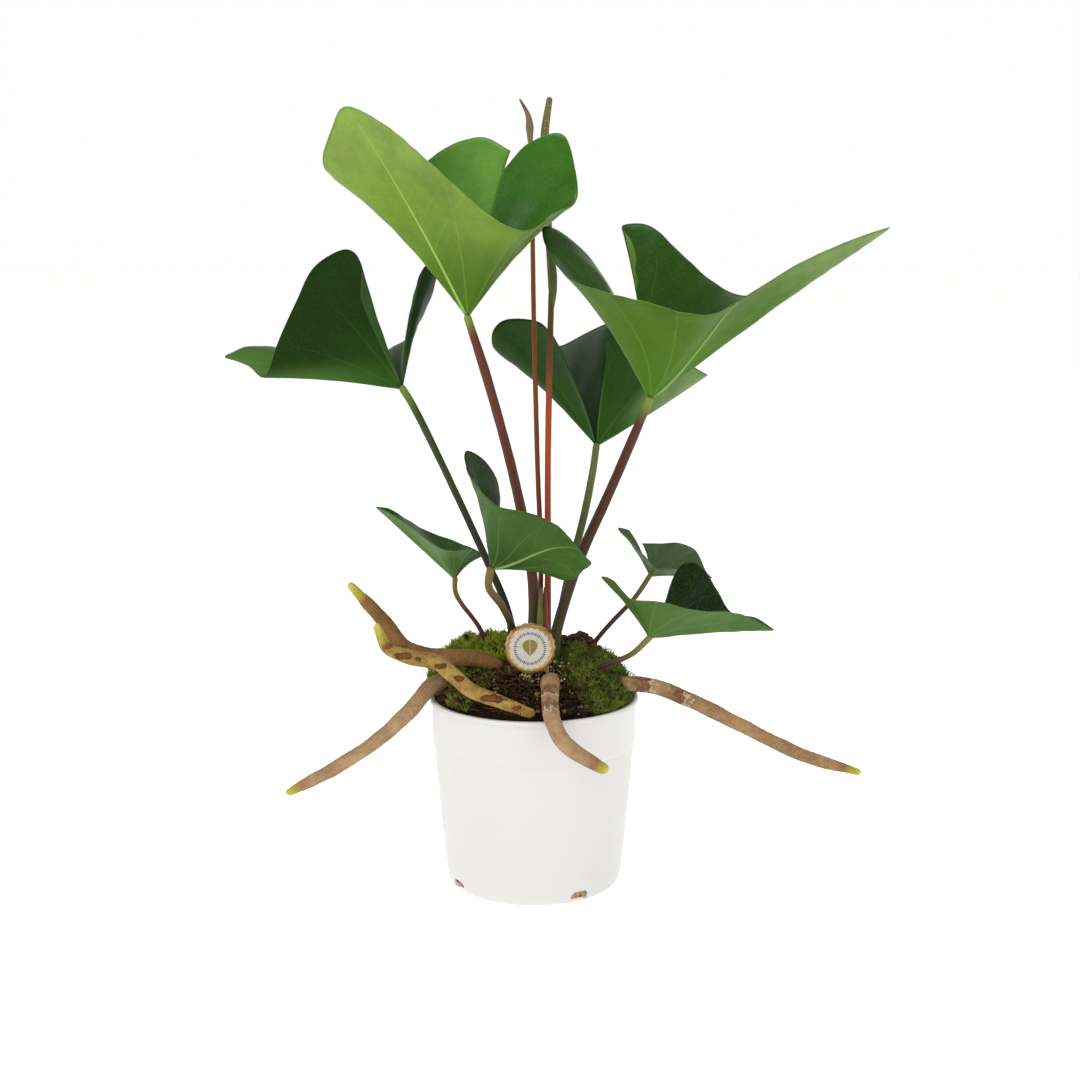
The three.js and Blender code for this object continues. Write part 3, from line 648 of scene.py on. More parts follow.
def root_finish(name, tip, bark="#A98A66", dark="#7E5E3E", light="#BFA27A", torn=(), scars=False):
    """Corky aerial root, dried in open air: matt speckled bark with lengthwise fibres and fine
    rings, then a reddish band, and a bare moist tip that shines a little."""

    def build(tree):
        along = add(tree, "mark", attribute_name="along")
        grain = speckle(tree, 1.5, detail=6, roughness=0.75)
        blotch = speckle(tree, 14, detail=3)
        fibres = lengthwise(tree, 9, around=2.6, detail=6)
        rings = add(tree, "ADD", add(tree, "MULTIPLY", add(tree, "mark", attribute_name="run"), 4.2),
                      add(tree, "MULTIPLY", blotch, 9.0))
        rings = add(tree, "SINE", rings)
        shade = add(tree, "mix", add(tree, "ramp", grain, 0.3, 0.65, 0.25, 1.0), dark, bark)
        shade = add(tree, "mix", add(tree, "ramp", fibres, 0.5, 0.68, 0.0, 0.55), shade, dark)
        shade = add(tree, "mix", add(tree, "ramp", blotch, 0.4, 0.7, 0.0, 0.6), shade, light)
        ring_lines = add(tree, "MULTIPLY", add(tree, "ramp", rings, 0.4, 1.0, 0.0, 0.22),
                           add(tree, "ramp", grain, 0.4, 0.6))
        shade = add(tree, "mix", ring_lines, shade, dark)
        if scars:
            scar = add(tree, "mark", attribute_name="scar")
            stains = add(tree, "ramp", speckle(tree, 4.5, detail=4), 0.5, 0.62, 0.0, 0.55)
            shade = add(tree, "mix", stains, shade, "#7A5A2C")
            shade = add(tree, "mix", add(tree, "ramp", scar, 0.0, 0.45), shade, "#4A2C16")
            shade = add(tree, "mix", add(tree, "ramp", scar, 0.45, 1.0), shade, "#74401F")
        # papery skin that tore into a ragged pale ring, with darker bark before it
        for share in torn:
            ragged = add(tree, "ramp", speckle(tree, 3, detail=4), 0.2, 0.8, -0.03, 0.03)
            gap = add(tree, "SUBTRACT", add(tree, "ADD", along, ragged), share)
            before = add(tree, "ABSOLUTE", add(tree, "ADD", gap, 0.035))
            shade = add(tree, "mix", add(tree, "ramp", before, 0.0, 0.045, 0.75, 0.0), shade, "#5A361E")
            ring = add(tree, "ramp", add(tree, "ABSOLUTE", gap), 0.002, 0.008, 0.6, 0.0)
            shade = add(tree, "mix", ring, shade, "#D8C8AC")
        reddish = add(tree, "ramp", along, tip - 0.09, tip - 0.02, 0.0, 0.55)
        shade = add(tree, "mix", reddish, shade, "#8A5230")
        shade = add(tree, "mix", add(tree, "ramp", along, tip - 0.025, tip + 0.02), shade, "#A0942E")
        shade = add(tree, "mix", add(tree, "ramp", along, tip + 0.015, 1.0, 0.0, 0.85), shade, "#C2BA54")
        relief = add(tree, "ADD", add(tree, "ADD", grain, add(tree, "MULTIPLY", rings, 0.12)),
                       add(tree, "MULTIPLY", fibres, -0.6))
        return {"Base Color": shade, "Roughness": add(tree, "ramp", along, tip - 0.02, tip, 0.75, 0.35),
                "Specular IOR Level": 0.25, "Normal": add(tree, "bump", relief, 0.6 * MM, 0.9)}

    return finish(name, build)


# "tip" is the share of the length where the fresh tip begins, and "torn" where the skin tore
ROOTS = {
    "low_left": {
        "route": [(-34, -9, 9), (-50, -12, 11), (-59, -16, 8), (-71, -22, -5), (-89, -28, -20),
                  (-111, -32, -34), (-139, -36, -48)],
        "radii": [4.7, 4.7, 4.6, 4.4, 4.2, 4.0, 3.9, 3.6, 1.8], "tip": 0.94},
    "upper_left": {
        "route": [(-18, -17, 18), (-31, -22, 26), (-48, -24, 28), (-63, -22, 29), (-75, -20, 35),
                  (-85, -18, 48), (-104, -14, 68)],
        "radii": [4.6, 4.7, 4.5, 4.4, 4.4, 4.2, 4.1, 3.5, 1.7], "tip": 0.89,
        "bark": "#86602E", "dark": "#4C341C", "light": "#A07A48"},
    "scarred": {
        "route": [(1, -52.5, 2.5), (-8, -53, 6), (-16, -53, 9), (-33, -49, 14), (-45, -44, 23),
                  (-55, -40, 29), (-70, -36, 31), (-81, -34, 35), (-87, -32, 49)],
        "radii": [2.4, 3.5, 4.1, 3.8, 4.1, 4.2, 4.0, 3.2, 1.6], "tip": 0.89,
        "bark": "#A0803C", "dark": "#5A4420", "light": "#BA9C54", "scars": True},
    "front": {
        "route": [(10, -24, 8), (9, -36, 16), (9, -47, 15), (9, -57, 9), (11, -66, 1),
                  (17, -73, -8), (28, -77, -15), (40, -80, -21)],
        "radii": [5.4, 6.0, 5.3, 4.7, 4.5, 4.6, 4.3, 3.9, 2.8], "tip": 0.94, "torn": (0.36, 0.47),
        "bark": "#AA8A66", "dark": "#7A5A3C", "light": "#BEA07C"},
    "right": {
        "route": [(36, -14, 6), (50, -16, 10), (62, -17, 10), (75, -18, 7), (98, -20, -3),
                  (124, -22, -16), (154, -24, -30), (185, -26, -39)],
        "radii": [4.4, 4.4, 4.3, 4.2, 4.1, 3.9, 3.8, 3.5, 1.9], "tip": 0.955, "torn": (0.2, 0.33),
        "bark": "#9A7A54", "dark": "#6A4C30", "light": "#B08E66"},
}
# centre and length of the brown oval scars; the last ones are torn patches near the bend
SCARS = [((-23, -56, 12), 17.0), ((-41, -49, 22), 7.0), ((-51, -44, 28), 7.0),
         ((-63, -40, 31), 6.0), ((-72, -39, 32), 13.0), ((-81, -36, 37), 7.0), ((-9, -56, 7), 6.0)]


def aerial_root(name, route, radii, tip, **looks):
    scarred = looks.get("scars", False)

    def scar_marks(places):
        """1 in the middle of a scar, and 0 outside its ragged rim."""
        value = np.zeros(places.shape[:2])
        torn = [0.45 * noise.noise(Vector(p)) for p in places.reshape(-1, 3) / 2.6]
        torn = np.array(torn).reshape(value.shape)
        for centre, length in SCARS:
            half = np.array([length / 2, length / 2 + 2, min(length, 9) * 0.24])
            gap = np.linalg.norm((places - above_lip(centre)) / half, axis=-1)
            value = np.maximum(value, smooth(1.15, 0.3, gap + torn))
        return {"scar": value}

    def shape(share, angle, path):
        knots = rough(9, 0.42, len(name) * 3.1)(share, angle, path)
        if scarred:
            # three flat sides that twist along the root, with a crease between two of them
            knots = knots + rough(14, 0.8, 2.2)(share, angle, path)
            twist = 0.35 * np.cos(3 * angle + 6 * np.sin(4 * share))
            crease = -0.3 * np.exp(-((angle - 1.2) / 0.25) ** 2)
            knots = knots + twist + crease
        rings = 0.04 * np.sin(share * path.length * 1.4 + 2 * np.sin(angle))
        return knots + rings

    piece = rod(f"visual_root_{name}", above_lip(route), radii,
                root_finish(f"aerial root {name}", tip, **looks), sides=36, step=0.9,
                shape=shape, marks=scar_marks if scarred else None)
    return finished(piece, "root", f"root_{name}")


# ---------------------------------------------------------------- pot
LIP_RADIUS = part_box("pot")[1].x / MM
LIP_HEIGHT = 3.0
LIP_BOTTOM = POT_HEIGHT - LIP_HEIGHT
COLLAR_RADIUS = LIP_RADIUS - 1.6
COLLAR_BOTTOM = LIP_BOTTOM - 24
STEP = 0.8
WALL = 1.2
FLOOR = 1.8
BASE_RADIUS = 50.0
CORNER = 4.0
NOTCH = {"width": 12.0, "height": 7.0, "depth": 9.0, "count": 4, "first": 31.0}
MOUTH_RADIUS = COLLAR_RADIUS - WALL


def body_radius(z):
    """Outer radius of the wall under the collar, which widens faster near the bottom."""
    share = np.clip((z - CORNER) / (COLLAR_BOTTOM - CORNER), 0, 1)
    return BASE_RADIUS + (COLLAR_RADIUS - STEP - BASE_RADIUS) * share ** 0.8


def pot_outline():
    """Radius and height round the wall: outside going up, then inside going down."""
    corner = [(BASE_RADIUS - CORNER + CORNER * math.sin(a), CORNER - CORNER * math.cos(a))
              for a in np.linspace(0, math.pi / 2, 8)]
    rise = [(float(body_radius(z)), z) for z in np.linspace(CORNER, COLLAR_BOTTOM, 24)[1:]]
    collar = [(COLLAR_RADIUS - STEP * 0.35, COLLAR_BOTTOM + 0.5), (COLLAR_RADIUS, COLLAR_BOTTOM + 1.4),
              (COLLAR_RADIUS, LIP_BOTTOM - 0.4), (COLLAR_RADIUS + 0.3, LIP_BOTTOM)]
    lip = [(LIP_RADIUS - 0.5, LIP_BOTTOM + 0.1), (LIP_RADIUS, LIP_BOTTOM + 0.6),
           (LIP_RADIUS, POT_HEIGHT - 0.8), (LIP_RADIUS - 0.3, POT_HEIGHT - 0.2),
           (LIP_RADIUS - 0.8, POT_HEIGHT)]
    mouth = [(MOUTH_RADIUS + 0.6, POT_HEIGHT), (MOUTH_RADIUS + 0.1, POT_HEIGHT - 0.3),
             (MOUTH_RADIUS, POT_HEIGHT - 1), (MOUTH_RADIUS, COLLAR_BOTTOM + 1.6)]
    inside = [(float(body_radius(z)) - WALL, z) for z in np.linspace(COLLAR_BOTTOM, CORNER, 12)]
    underside = [(0, 0), (BASE_RADIUS * 0.5, 0)]
    floor = [(BASE_RADIUS - CORNER, FLOOR), (0, FLOOR)]
    return underside + corner + rise + collar + lip + mouth + inside + floor


def turned(outline, segments, shape=None):
    """Grid places of an outline turned about Z."""
    angle = np.linspace(0, 2 * math.pi, segments + 1)
    r = np.array([p[0] for p in outline], float)
    z = np.array([p[1] for p in outline], float)
    radius = np.broadcast_to(r, (segments + 1, len(r))).copy()
    height = np.broadcast_to(z, radius.shape).copy()
    if shape:
        radius, height = shape(angle[:, None], radius, height)
    places = np.stack([radius * np.cos(angle)[:, None], radius * np.sin(angle)[:, None], height], axis=-1)
    places[-1] = places[0]
    return places


def notch_cutter():
    """Rounded wedges that stand round the pot's bottom edge, where water drains out."""
    bm = bmesh.new()
    for i in range(NOTCH["count"]):
        made = bmesh.ops.create_cube(bm, size=1.0)["verts"]
        turn = math.radians(NOTCH["first"] + i * 360 / NOTCH["count"])
        for vert in made:
            # the notch narrows a little towards its top
            x = vert.co.x * NOTCH["width"] * (0.86 if vert.co.z > 0 else 1.14)
            y = vert.co.y * 2 * NOTCH["depth"] - BASE_RADIUS
            z = vert.co.z * 2 * NOTCH["height"]
            vert.co = Vector((x * math.cos(turn) - y * math.sin(turn),
                              x * math.sin(turn) + y * math.cos(turn), z)) * MM
    bmesh.ops.bevel(bm, geom=bm.edges[:], offset=1.2 * MM, segments=3, affect="EDGES")
    return bm


def pot():
    # polypropylene, injection-moulded in a satin mould: an even white with a soft broad
    # highlight, a very fine grain, faint yellowish scuffs and a slight glow in the thin lip
    def build(tree):
        grain = speckle(tree, 0.6, detail=2)
        scuff = speckle(tree, 30, detail=5)
        shade = add(tree, "mix", add(tree, "ramp", scuff, 0.5, 0.8, 0.0, 0.25), "#D0CFCD", "#C5C2BD")
        return {"Base Color": shade, "Roughness": add(tree, "ramp", scuff, 0.3, 0.7, 0.36, 0.46),
                "Normal": add(tree, "bump", grain, 0.05 * MM, 0.4), "Subsurface Weight": 0.1,
                "Subsurface Radius": (1.0, 1.0, 0.95), "Subsurface Scale": 0.002}

    bm = bmesh.new()
    moved_grid(bm, turned(pot_outline(), 192))
    piece = new_object("nursery_pot", bm, finish("white moulded plastic", build))
    cutter = new_object("notch_cutter", notch_cutter(), piece.data.materials[0])
    cut = piece.modifiers.new("notches", "BOOLEAN")
    cut.object = cutter
    cut.solver = "EXACT"
    graph = bpy.context.evaluated_depsgraph_get()
    mesh = bpy.data.meshes.new_from_object(piece.evaluated_get(graph))
    piece.modifiers.clear()
    piece.data = mesh
    bpy.data.objects.remove(cutter)
    mesh.shade_smooth()
    mesh.set_sharp_from_angle(angle=math.radians(40))
    finished(piece, "white_plastic", "pot")


# ---------------------------------------------------------------- soil and moss
SOIL_EDGE = POT_HEIGHT - 1.8
MOUND_RISE = 23.8
MOUND_FLATNESS = 4
SOIL_RADIUS = MOUTH_RADIUS - 0.3
SOIL_SIDE = [(1.0, COLLAR_BOTTOM + 2.2), (0.96, COLLAR_BOTTOM - 1), (0.86, CORNER + 6),
             (0.84, FLOOR + 0.4), (0.0, FLOOR + 0.4)]


def mound(r):
    """Height of the smooth heap of mix at a distance from the pot's axis."""
    return SOIL_EDGE + MOUND_RISE * (1 - np.minimum(r / SOIL_RADIUS, 1) ** MOUND_FLATNESS)


def lumpy(x, y):
    """Height of the soil's crumbs over the smooth mound, in millimetres."""
    big = noise.noise(Vector((x / 11, y / 11, 3.1)))
    small = noise.noise(Vector((x / 3.2, y / 3.2, 8.4)))
    return 1.6 * big + 1.0 * small


def ground(x, y):
    """Height of the mix, whose lumps fade out where it meets the wall."""
    r = math.hypot(x, y)
    fade = 1 - max(0, (r - SOIL_RADIUS + 6) / 6) if r > SOIL_RADIUS - 6 else 1
    return float(mound(r)) + lumpy(x, y) * fade


def soil():
    # peat, bark and coir, shredded and damp: nearly black rough crumbs with browner fibres,
    # which swallow the light and shine almost nowhere
    def build(tree):
        crumbs = speckle(tree, 3.0, detail=8, roughness=0.75)
        fibres = add(tree, "cells", add(tree, "place"), 1 / (2.4 * MM))
        shade = add(tree, "mix", add(tree, "ramp", crumbs, 0.35, 0.7), "#090502", "#22170C")
        shade = add(tree, "mix", add(tree, "ramp", fibres, 0.5, 0.9, 0.0, 0.3), shade, "#3E2A16")
        # pale roots and coir mat the mix at the bottom, where the drain notches show it
        height = add(tree, "height", add(tree, "place"))
        matted = add(tree, "mix", add(tree, "ramp", crumbs, 0.35, 0.7), "#8A6A48", "#D8C4A0")
        shade = add(tree, "mix", add(tree, "ramp", height, 0.012, 0.02, 1.0, 0.0), shade, matted)
        return {"Base Color": shade, "Roughness": 0.92, "Specular IOR Level": 0.12,
                "Normal": add(tree, "bump", add(tree, "ADD", crumbs, fibres), 1.4 * MM, 1.0)}

    rings, spokes = 70, 160
    share = np.concatenate([np.linspace(0, 1, rings), [part for part, z in SOIL_SIDE]])
    places = np.zeros((spokes + 1, len(share), 3))
    for i in range(spokes + 1):
        angle = 2 * math.pi * i / spokes
        for j, part in enumerate(share):
            x, y = SOIL_RADIUS * part * math.cos(angle), SOIL_RADIUS * part * math.sin(angle)
            z = ground(x, y) if j < rings else SOIL_SIDE[j - rings][1]
            places[i, j] = (x, y, z)
    places[-1] = places[0]
    bm = bmesh.new()
    moved_grid(bm, places)
    finished(new_object("potting_mix", bm, finish("damp fibrous potting mix", build)), "soil", "potting_soil")


def scatter(name, count, slot, material, shape_one, spots):
    """One joined piece made of many small shapes, each put in place by shape_one."""
    bm = many(count, lambda batch: shape_one(batch, *spots()))
    return finished(new_object(name, bm, material, outward=False), slot)


def soil_spot():
    """Anywhere on the mix, but not against the wall."""
    while True:
        x, y = rng.uniform(-1, 1) * SOIL_RADIUS, rng.uniform(-1, 1) * SOIL_RADIUS
        if math.hypot(x, y) < SOIL_RADIUS - 2:
            return x, y, ground(x, y)


def collar_spot():
    """Pale crust round the tag's foot and the front root's collar."""
    turn, out = rng.uniform(0, 2 * math.pi), 11 * rng.random()
    x, y = 4 + 1.7 * out * math.cos(turn), -31 + out * math.sin(turn)
    return x, y, ground(x, y) + rng.uniform(0, 5)


def lump_spot():
    """Old bark heaped behind the right of the crown."""
    turn, out = rng.uniform(0, 2 * math.pi), math.sqrt(rng.random())
    x, y = 31 + 17 * out * math.cos(turn), 22 + 11 * out * math.sin(turn)
    return x, y, ground(x, y) + rng.uniform(2, 6 + 7 * (1 - out))


def edge_spot():
    """A place by the pot's left lip, where fine rootlets hang over."""
    turn = math.radians(rng.uniform(150, 215))
    x, y = 51 * math.cos(turn), 51 * math.sin(turn)
    return x, y, ground(x, y)


def rootlet(bm, x, y, z):
    """A hair-thin root that stands up out of the mix and curls over."""
    turn = math.atan2(y, x) + rng.uniform(-0.9, 0.9)
    out, up = rng.uniform(1, 9), rng.uniform(3, 13)
    points = [(x + math.cos(turn) * out * t, y + math.sin(turn) * out * t, z + up * math.sin(2.4 * t))
              for t in (0, 0.2, 0.4, 0.6, 0.8, 1.0)]
    strand(bm, points, [0.22, 0.2, 0.18, 0.16, 0.13, 0.06])


def pebble(bm, low, high):
    """A small ball whose corners are pushed in or out at random."""
    made = bmesh.ops.create_icosphere(bm, subdivisions=1, radius=1.0)["verts"]
    for vert in made:
        vert.co *= rng.uniform(low, high)
    return made


def place_shape(made, scale, position):
    """Turns a small shape at random, stretches it and moves it to its place."""
    spin = Vector((rng.uniform(-1, 1), rng.uniform(-1, 1), rng.uniform(-1, 1))).to_track_quat("Z", "Y")
    for vert in made:
        stretched = Vector(vert.co[i] * scale[i] for i in range(3))
        vert.co = (spin @ stretched + Vector(position)) * MM


def lump(bm, x, y, z):
    """A chunk of old bark."""
    made = pebble(bm, 0.7, 1.25)
    size = rng.uniform(1.2, 3.4)
    place_shape(made, (size, size * 0.8, size * 0.6), (x, y, z))


def chip(bm, x, y, z):
    """A flat flake of bark or husk; most are small and a few are large."""
    made = pebble(bm, 0.7, 1.2)
    size = 0.7 + 2.6 * rng.random() ** 2.5
    scale = (size, size * rng.uniform(0.4, 0.9), size * rng.uniform(0.25, 0.6))
    place_shape(made, scale, (x, y, z + 0.4 * size))


def grain(bm, x, y, z):
    """A roundish crumb."""
    made = pebble(bm, 0.8, 1.15)
    size = 0.3 + 0.9 * rng.random() ** 2
    place_shape(made, (size, size * 0.9, size * 0.8), (x, y, z + 0.4))


def fibre(bm, x, y, z):
    """A thin bent thread of three-sided section."""
    turn = rng.uniform(0, 2 * math.pi)
    length = rng.uniform(3, 13)
    rise = rng.uniform(-0.1, 1.0)
    bend = rng.uniform(-1.2, 1.2)
    radius = rng.uniform(0.1, 0.24)
    points = []
    for k in range(5):
        t = k / 4
        a = turn + bend * t
        points.append((x + math.cos(a) * length * t, y + math.sin(a) * length * t,
                       z + 0.5 + rise * length * math.sin(math.pi * t) * 0.5))
    strand(bm, points, [radius, radius, radius, radius * 0.8, radius * 0.3])


def strand(bm, points, radii):
    """A thin closed thread of three-sided section along the points."""
    p = np.array(points, float)
    tangent = np.gradient(p, axis=0)
    tangent /= np.linalg.norm(tangent, axis=1, keepdims=True)
    guide = np.array((0.3, 0.9, 0.31)) if abs(tangent[0][2]) > 0.7 else np.array((0, 0, 1.0))
    across = np.cross(tangent, guide)
    across /= np.linalg.norm(across, axis=1, keepdims=True)
    other = np.cross(tangent, across)
    places = np.zeros((4, len(p) + 2, 3))
    for side in range(4):
        a = 2 * math.pi * side / 3
        ring = p + (across * math.cos(a) + other * math.sin(a)) * np.array(radii)[:, None]
        places[side] = np.vstack([p[:1], ring, p[-1:]])
    places[3] = places[0]
    moved_grid(bm, places)


def plain(name, low, high, size=1.5):
    """Dry loose bits, torn or crumbled: two tones in close specks, matt on every side."""
    def build(tree):
        spots = speckle(tree, size, detail=4)
        shade = add(tree, "mix", add(tree, "ramp", spots, 0.35, 0.65), low, high)
        return {"Base Color": shade, "Roughness": 0.85, "Specular IOR Level": 0.15,
                "Normal": add(tree, "bump", spots, 0.2 * MM, 0.6)}

    return finish(name, build)


def soil_bits(moss_spots):
    """Everything that lies loose on the mix and on the moss."""
    bark = plain("shredded bark", "#0E0804", "#33210F")
    straw = plain("dry straw and husk", "#4E361C", "#94744A")
    coir = plain("coir fibre", "#301F0E", "#7A5A32")
    pale = plain("perlite and pale crumbs", "#927C58", "#D6C6A6")
    old_bark = plain("weathered bark", "#1E120A", "#6A4A32", size=3.0)
    dry_roots = plain("dry rootlets", "#4E3820", "#8E7048")

    def moss_spot():
        return rng.choice(moss_spots)()

    scatter("bark_chips", 1900, "soil", bark, chip, soil_spot)
    scatter("straw_chips", 520, "soil", straw, chip, soil_spot)
    scatter("coir_fibres", 1600, "soil", coir, fibre, soil_spot)
    scatter("pale_crumbs", 240, "soil", pale, grain, soil_spot)
    scatter("collar_crust", 190, "soil", pale, grain, collar_spot)
    scatter("crown_bark", 420, "bark", old_bark, lump, lump_spot)
    scatter("moss_litter", 420, "soil", bark, chip, moss_spot)
    scatter("moss_fibres", 420, "soil", coir, fibre, moss_spot)
    scatter("moss_crumbs", 90, "soil", pale, grain, moss_spot)
    scatter("stray_rootlets", 46, "root", dry_roots, rootlet, edge_spot)


# "over" is how far a cushion bulges past the mix's edge, and "rise" how much of the mound's
# fall it evens out; the colours are of fresh tips and of older shaded moss
MOSSES = {
    "back_left": {"centre": (-30, 18), "radii": (37, 32), "thickness": 11.5, "rise": 0.75, "over": 7.0,
                  "colours": ("#A2AE2C", "#5E7020"), "strands": 9500},
    "right": {"centre": (33, -3), "radii": (25, 42), "thickness": 6.5, "rise": 0.45, "over": 2.0,
              "colours": ("#74842A", "#34461A"), "strands": 9500},
    "front_left": {"centre": (-37, -30), "radii": (13, 11), "thickness": 4.0, "rise": 0.2, "over": 0.0,
                   "colours": ("#7C8C26", "#40541A"), "strands": 1200},
}


def moss(name, centre, radii, thickness, rise, over, colours, strands):
    """A cushion of moss under a pile of fine strands. Gives back where litter lands on it."""

    # living moss, grown as packed fine strands: bright tips over dark gaps, which are partly
    # brown old stems and partly painted shade; soft and matt, with a little light passing through it
    def build(tree):
        tone = speckle(tree, 9, detail=5, roughness=0.7)
        dead = add(tree, "ramp", speckle(tree, 5, detail=5), 0.52, 0.66, 0.0, 0.75)
        tips = add(tree, "ramp", speckle(tree, 1.3), 0.62, 0.75, 0.0, 0.5)
        shade = add(tree, "mix", add(tree, "ramp", tone, 0.4, 0.6), colours[1], colours[0])
        # painted shade, with real browning: the strands darken towards their feet and on the cushion between
        # them, as older brown stems and as the shade deep in the moss
        brown_foot_and_shade = add(tree, "ramp", add(tree, "mark", attribute_name="along"), 0.0, 0.7, 0.75, 0.0)
        shade = add(tree, "mix", brown_foot_and_shade, shade, "#1E1A08")
        shade = add(tree, "mix", dead, shade, "#4A3A16")
        shade = add(tree, "mix", tips, shade, "#9A9A3A")
        return {"Base Color": shade, "Roughness": 0.8, "Specular IOR Level": 0.2,
                "Subsurface Weight": 0.1, "Subsurface Radius": (0.5, 1, 0.3), "Subsurface Scale": 0.001}

    def surface(angle, share):
        """A place on the cushion's top. The share is 0 in its middle and 1 at its edge."""
        x = centre[0] + radii[0] * share * math.cos(angle)
        y = centre[1] + radii[1] * share * math.sin(angle)
        pull = min(1, (SOIL_RADIUS - 1.5 + over) / math.hypot(x, y))
        x, y = x * pull, y * pull
        # the cushion evens out the mound's fall towards the lip, and bulges over it
        level = rise * max(0, float(mound(34) - mound(math.hypot(x, y))))
        hollow = noise.noise(Vector((x / 9, y / 9, 5)))
        ruffle = 1.2 * noise.noise(Vector((x / 4, y / 4, 1)))
        height = (1 - share ** 3) * (thickness - 2) * (0.8 + 0.9 * hollow) + ruffle
        lowest = POT_HEIGHT + 0.7 if math.hypot(x, y) > SOIL_RADIUS - 1.4 else 0
        return x, y, max(lowest, ground(x, y) + max(-0.8, height + level * (1 - share ** 6)))

    def tuft(batch):
        """One strand: a thin three-sided cone that leans at random."""
        angle, share = rng.uniform(0, 2 * math.pi), math.sqrt(rng.uniform(0, 1))
        x, y, z = surface(angle, share)
        length = 1.6 + 4.4 * rng.random() ** 2
        lean = Vector((rng.uniform(-1, 1), rng.uniform(-1, 1), rng.uniform(0.7, 1.8)))
        spin = lean.to_track_quat("Z", "Y")
        layer = batch.verts.layers.float.get("along") or batch.verts.layers.float.new("along")
        made = bmesh.ops.create_cone(batch, segments=3, radius1=0.34, radius2=0.05, depth=1.0,
                                     cap_ends=True)
        for vert in made["verts"]:
            up = vert.co.z + 0.5
            vert[layer] = 0.25 + 0.75 * up
            strand_place = spin @ Vector((vert.co.x, vert.co.y, up * length))
            vert.co = (strand_place + Vector((x, y, z - 0.4))) * MM

    bm = many(strands, tuft)
    spokes, rings = 60, 22
    under = (centre[0] * 0.9, centre[1] * 0.9, POT_HEIGHT + 4)
    places = np.array([[surface(2 * math.pi * i / spokes, j / rings) for j in range(rings + 1)] + [under]
                       for i in range(spokes + 1)])
    places[-1] = places[0]
    moved_grid(bm, places, {"along": np.full(places.shape[:2], 0.3)})
    piece = new_object(f"moss_{name}_cushion", bm, finish(f"cushion moss {name}", build), outward=False)
    # the small front left patch is only a look, and takes the place of no node
    nodes = [] if name == "front_left" else [f"moss_{name}"]
    finished(piece, "moss", *nodes)

    def litter_spot():
        x, y, z = surface(rng.uniform(0, 2 * math.pi), math.sqrt(rng.uniform(0.05, 1)))
        return x, y, z + 0.9

    return litter_spot


def crown():
    """The short thick stem that the stalks grow from, sunk in the mix."""

    # woody stem with a rough split skin: dark hollows and dry brown ridges, no shine
    def build(tree):
        bark = speckle(tree, 3.0, detail=7, roughness=0.7, stretch=(1, 1, 0.5))
        shade = add(tree, "mix", add(tree, "ramp", bark, 0.35, 0.7), "#1E140C", "#5E4A30")
        return {"Base Color": shade, "Roughness": 0.85, "Normal": add(tree, "bump", bark, 1.0 * MM, 1.0)}

    points = [(1, -4, 12), (1, -3, 22), (1, -2, 34)]
    piece = rod("woody_crown", above_lip(points), [14, 14, 9], finish("woody crown", build),
                sides=48, step=1.5, shape=rough(6, 1.6, 4.2))
    finished(piece, "bark", "crown")


# ---------------------------------------------------------------- plant tag
TAG_CENTRE = Vector((-2, -42, 37 + POT_HEIGHT))
TAG_TILT = math.radians(90 - 12)
CAP_RADIUS = 14.3
CAP_DEPTH = 6.0
FLUTES = 21
STAKE_RADIUS = 1.3
TICKS = 48
TICK_RADIUS = 8.3
# radius and height, from the middle of the cap's face round its open rim and back inside
CAP_OUTLINE = [(0, 0), (9, 0), (11.4, 0), (12.4, -0.4), (12.9, -1.2), (13.3, -2.4), (13.8, -4),
               (CAP_RADIUS, -CAP_DEPTH), (CAP_RADIUS - 0.5, -CAP_DEPTH), (13.2, -4), (12.6, -2.4),
               (11.6, -1.0), (9, -0.6), (0, -0.6)]
FACE_OUTLINE = [(0, 0.15), (10.6, 0.15), (11.2, 0.15), (11.3, 0.35), (11.1, 0.5), (10.6, 0.55), (0, 0.55)]


def tag_places(places):
    """Turns places made round +Z to look forward and slightly up, and moves them."""
    c, s = math.cos(TAG_TILT), math.sin(TAG_TILT)
    x, y, z = places[..., 0], places[..., 1], places[..., 2]
    return np.stack([x, c * y - s * z, s * y + c * z], axis=-1) + np.array(TAG_CENTRE)


def ink(name, colour, metallic=0.0, roughness=0.5):
    """Printing ink laid on in one thin flat film: a single even colour with a dull shine."""
    def build(tree):
        return {"Base Color": colour, "Roughness": roughness, "Metallic": metallic}

    return finish(name, build)


def tag_cap():
    # tinplate, stamped and crimped, under gold printing lacquer: a warm metal shine that
    # runs along the flutes, made uneven by fine scratches
    def gold(tree):
        scratch = speckle(tree, 1.5, detail=4)
        return {"Base Color": add(tree, "mix", add(tree, "ramp", scratch, 0.4, 0.7), "#B28C48", "#94733A"),
                "Metallic": 0.45, "Roughness": add(tree, "ramp", scratch, 0.3, 0.7, 0.28, 0.45)}

    # the skirt's flutes deepen from the face's edge to the open end
    def flutes(angle, radius, height):
        depth = smooth(-0.3, -CAP_DEPTH, height) * (radius > 1)
        return radius - 0.22 * depth * (1 - np.cos(FLUTES * angle)), height

    bm = bmesh.new()
    moved_grid(bm, tag_places(turned(CAP_OUTLINE, FLUTES * 12, flutes)))
    finished(new_object("crown_cap", bm, finish("gold printed tinplate", gold)), "gold_metal", "tag_cap")


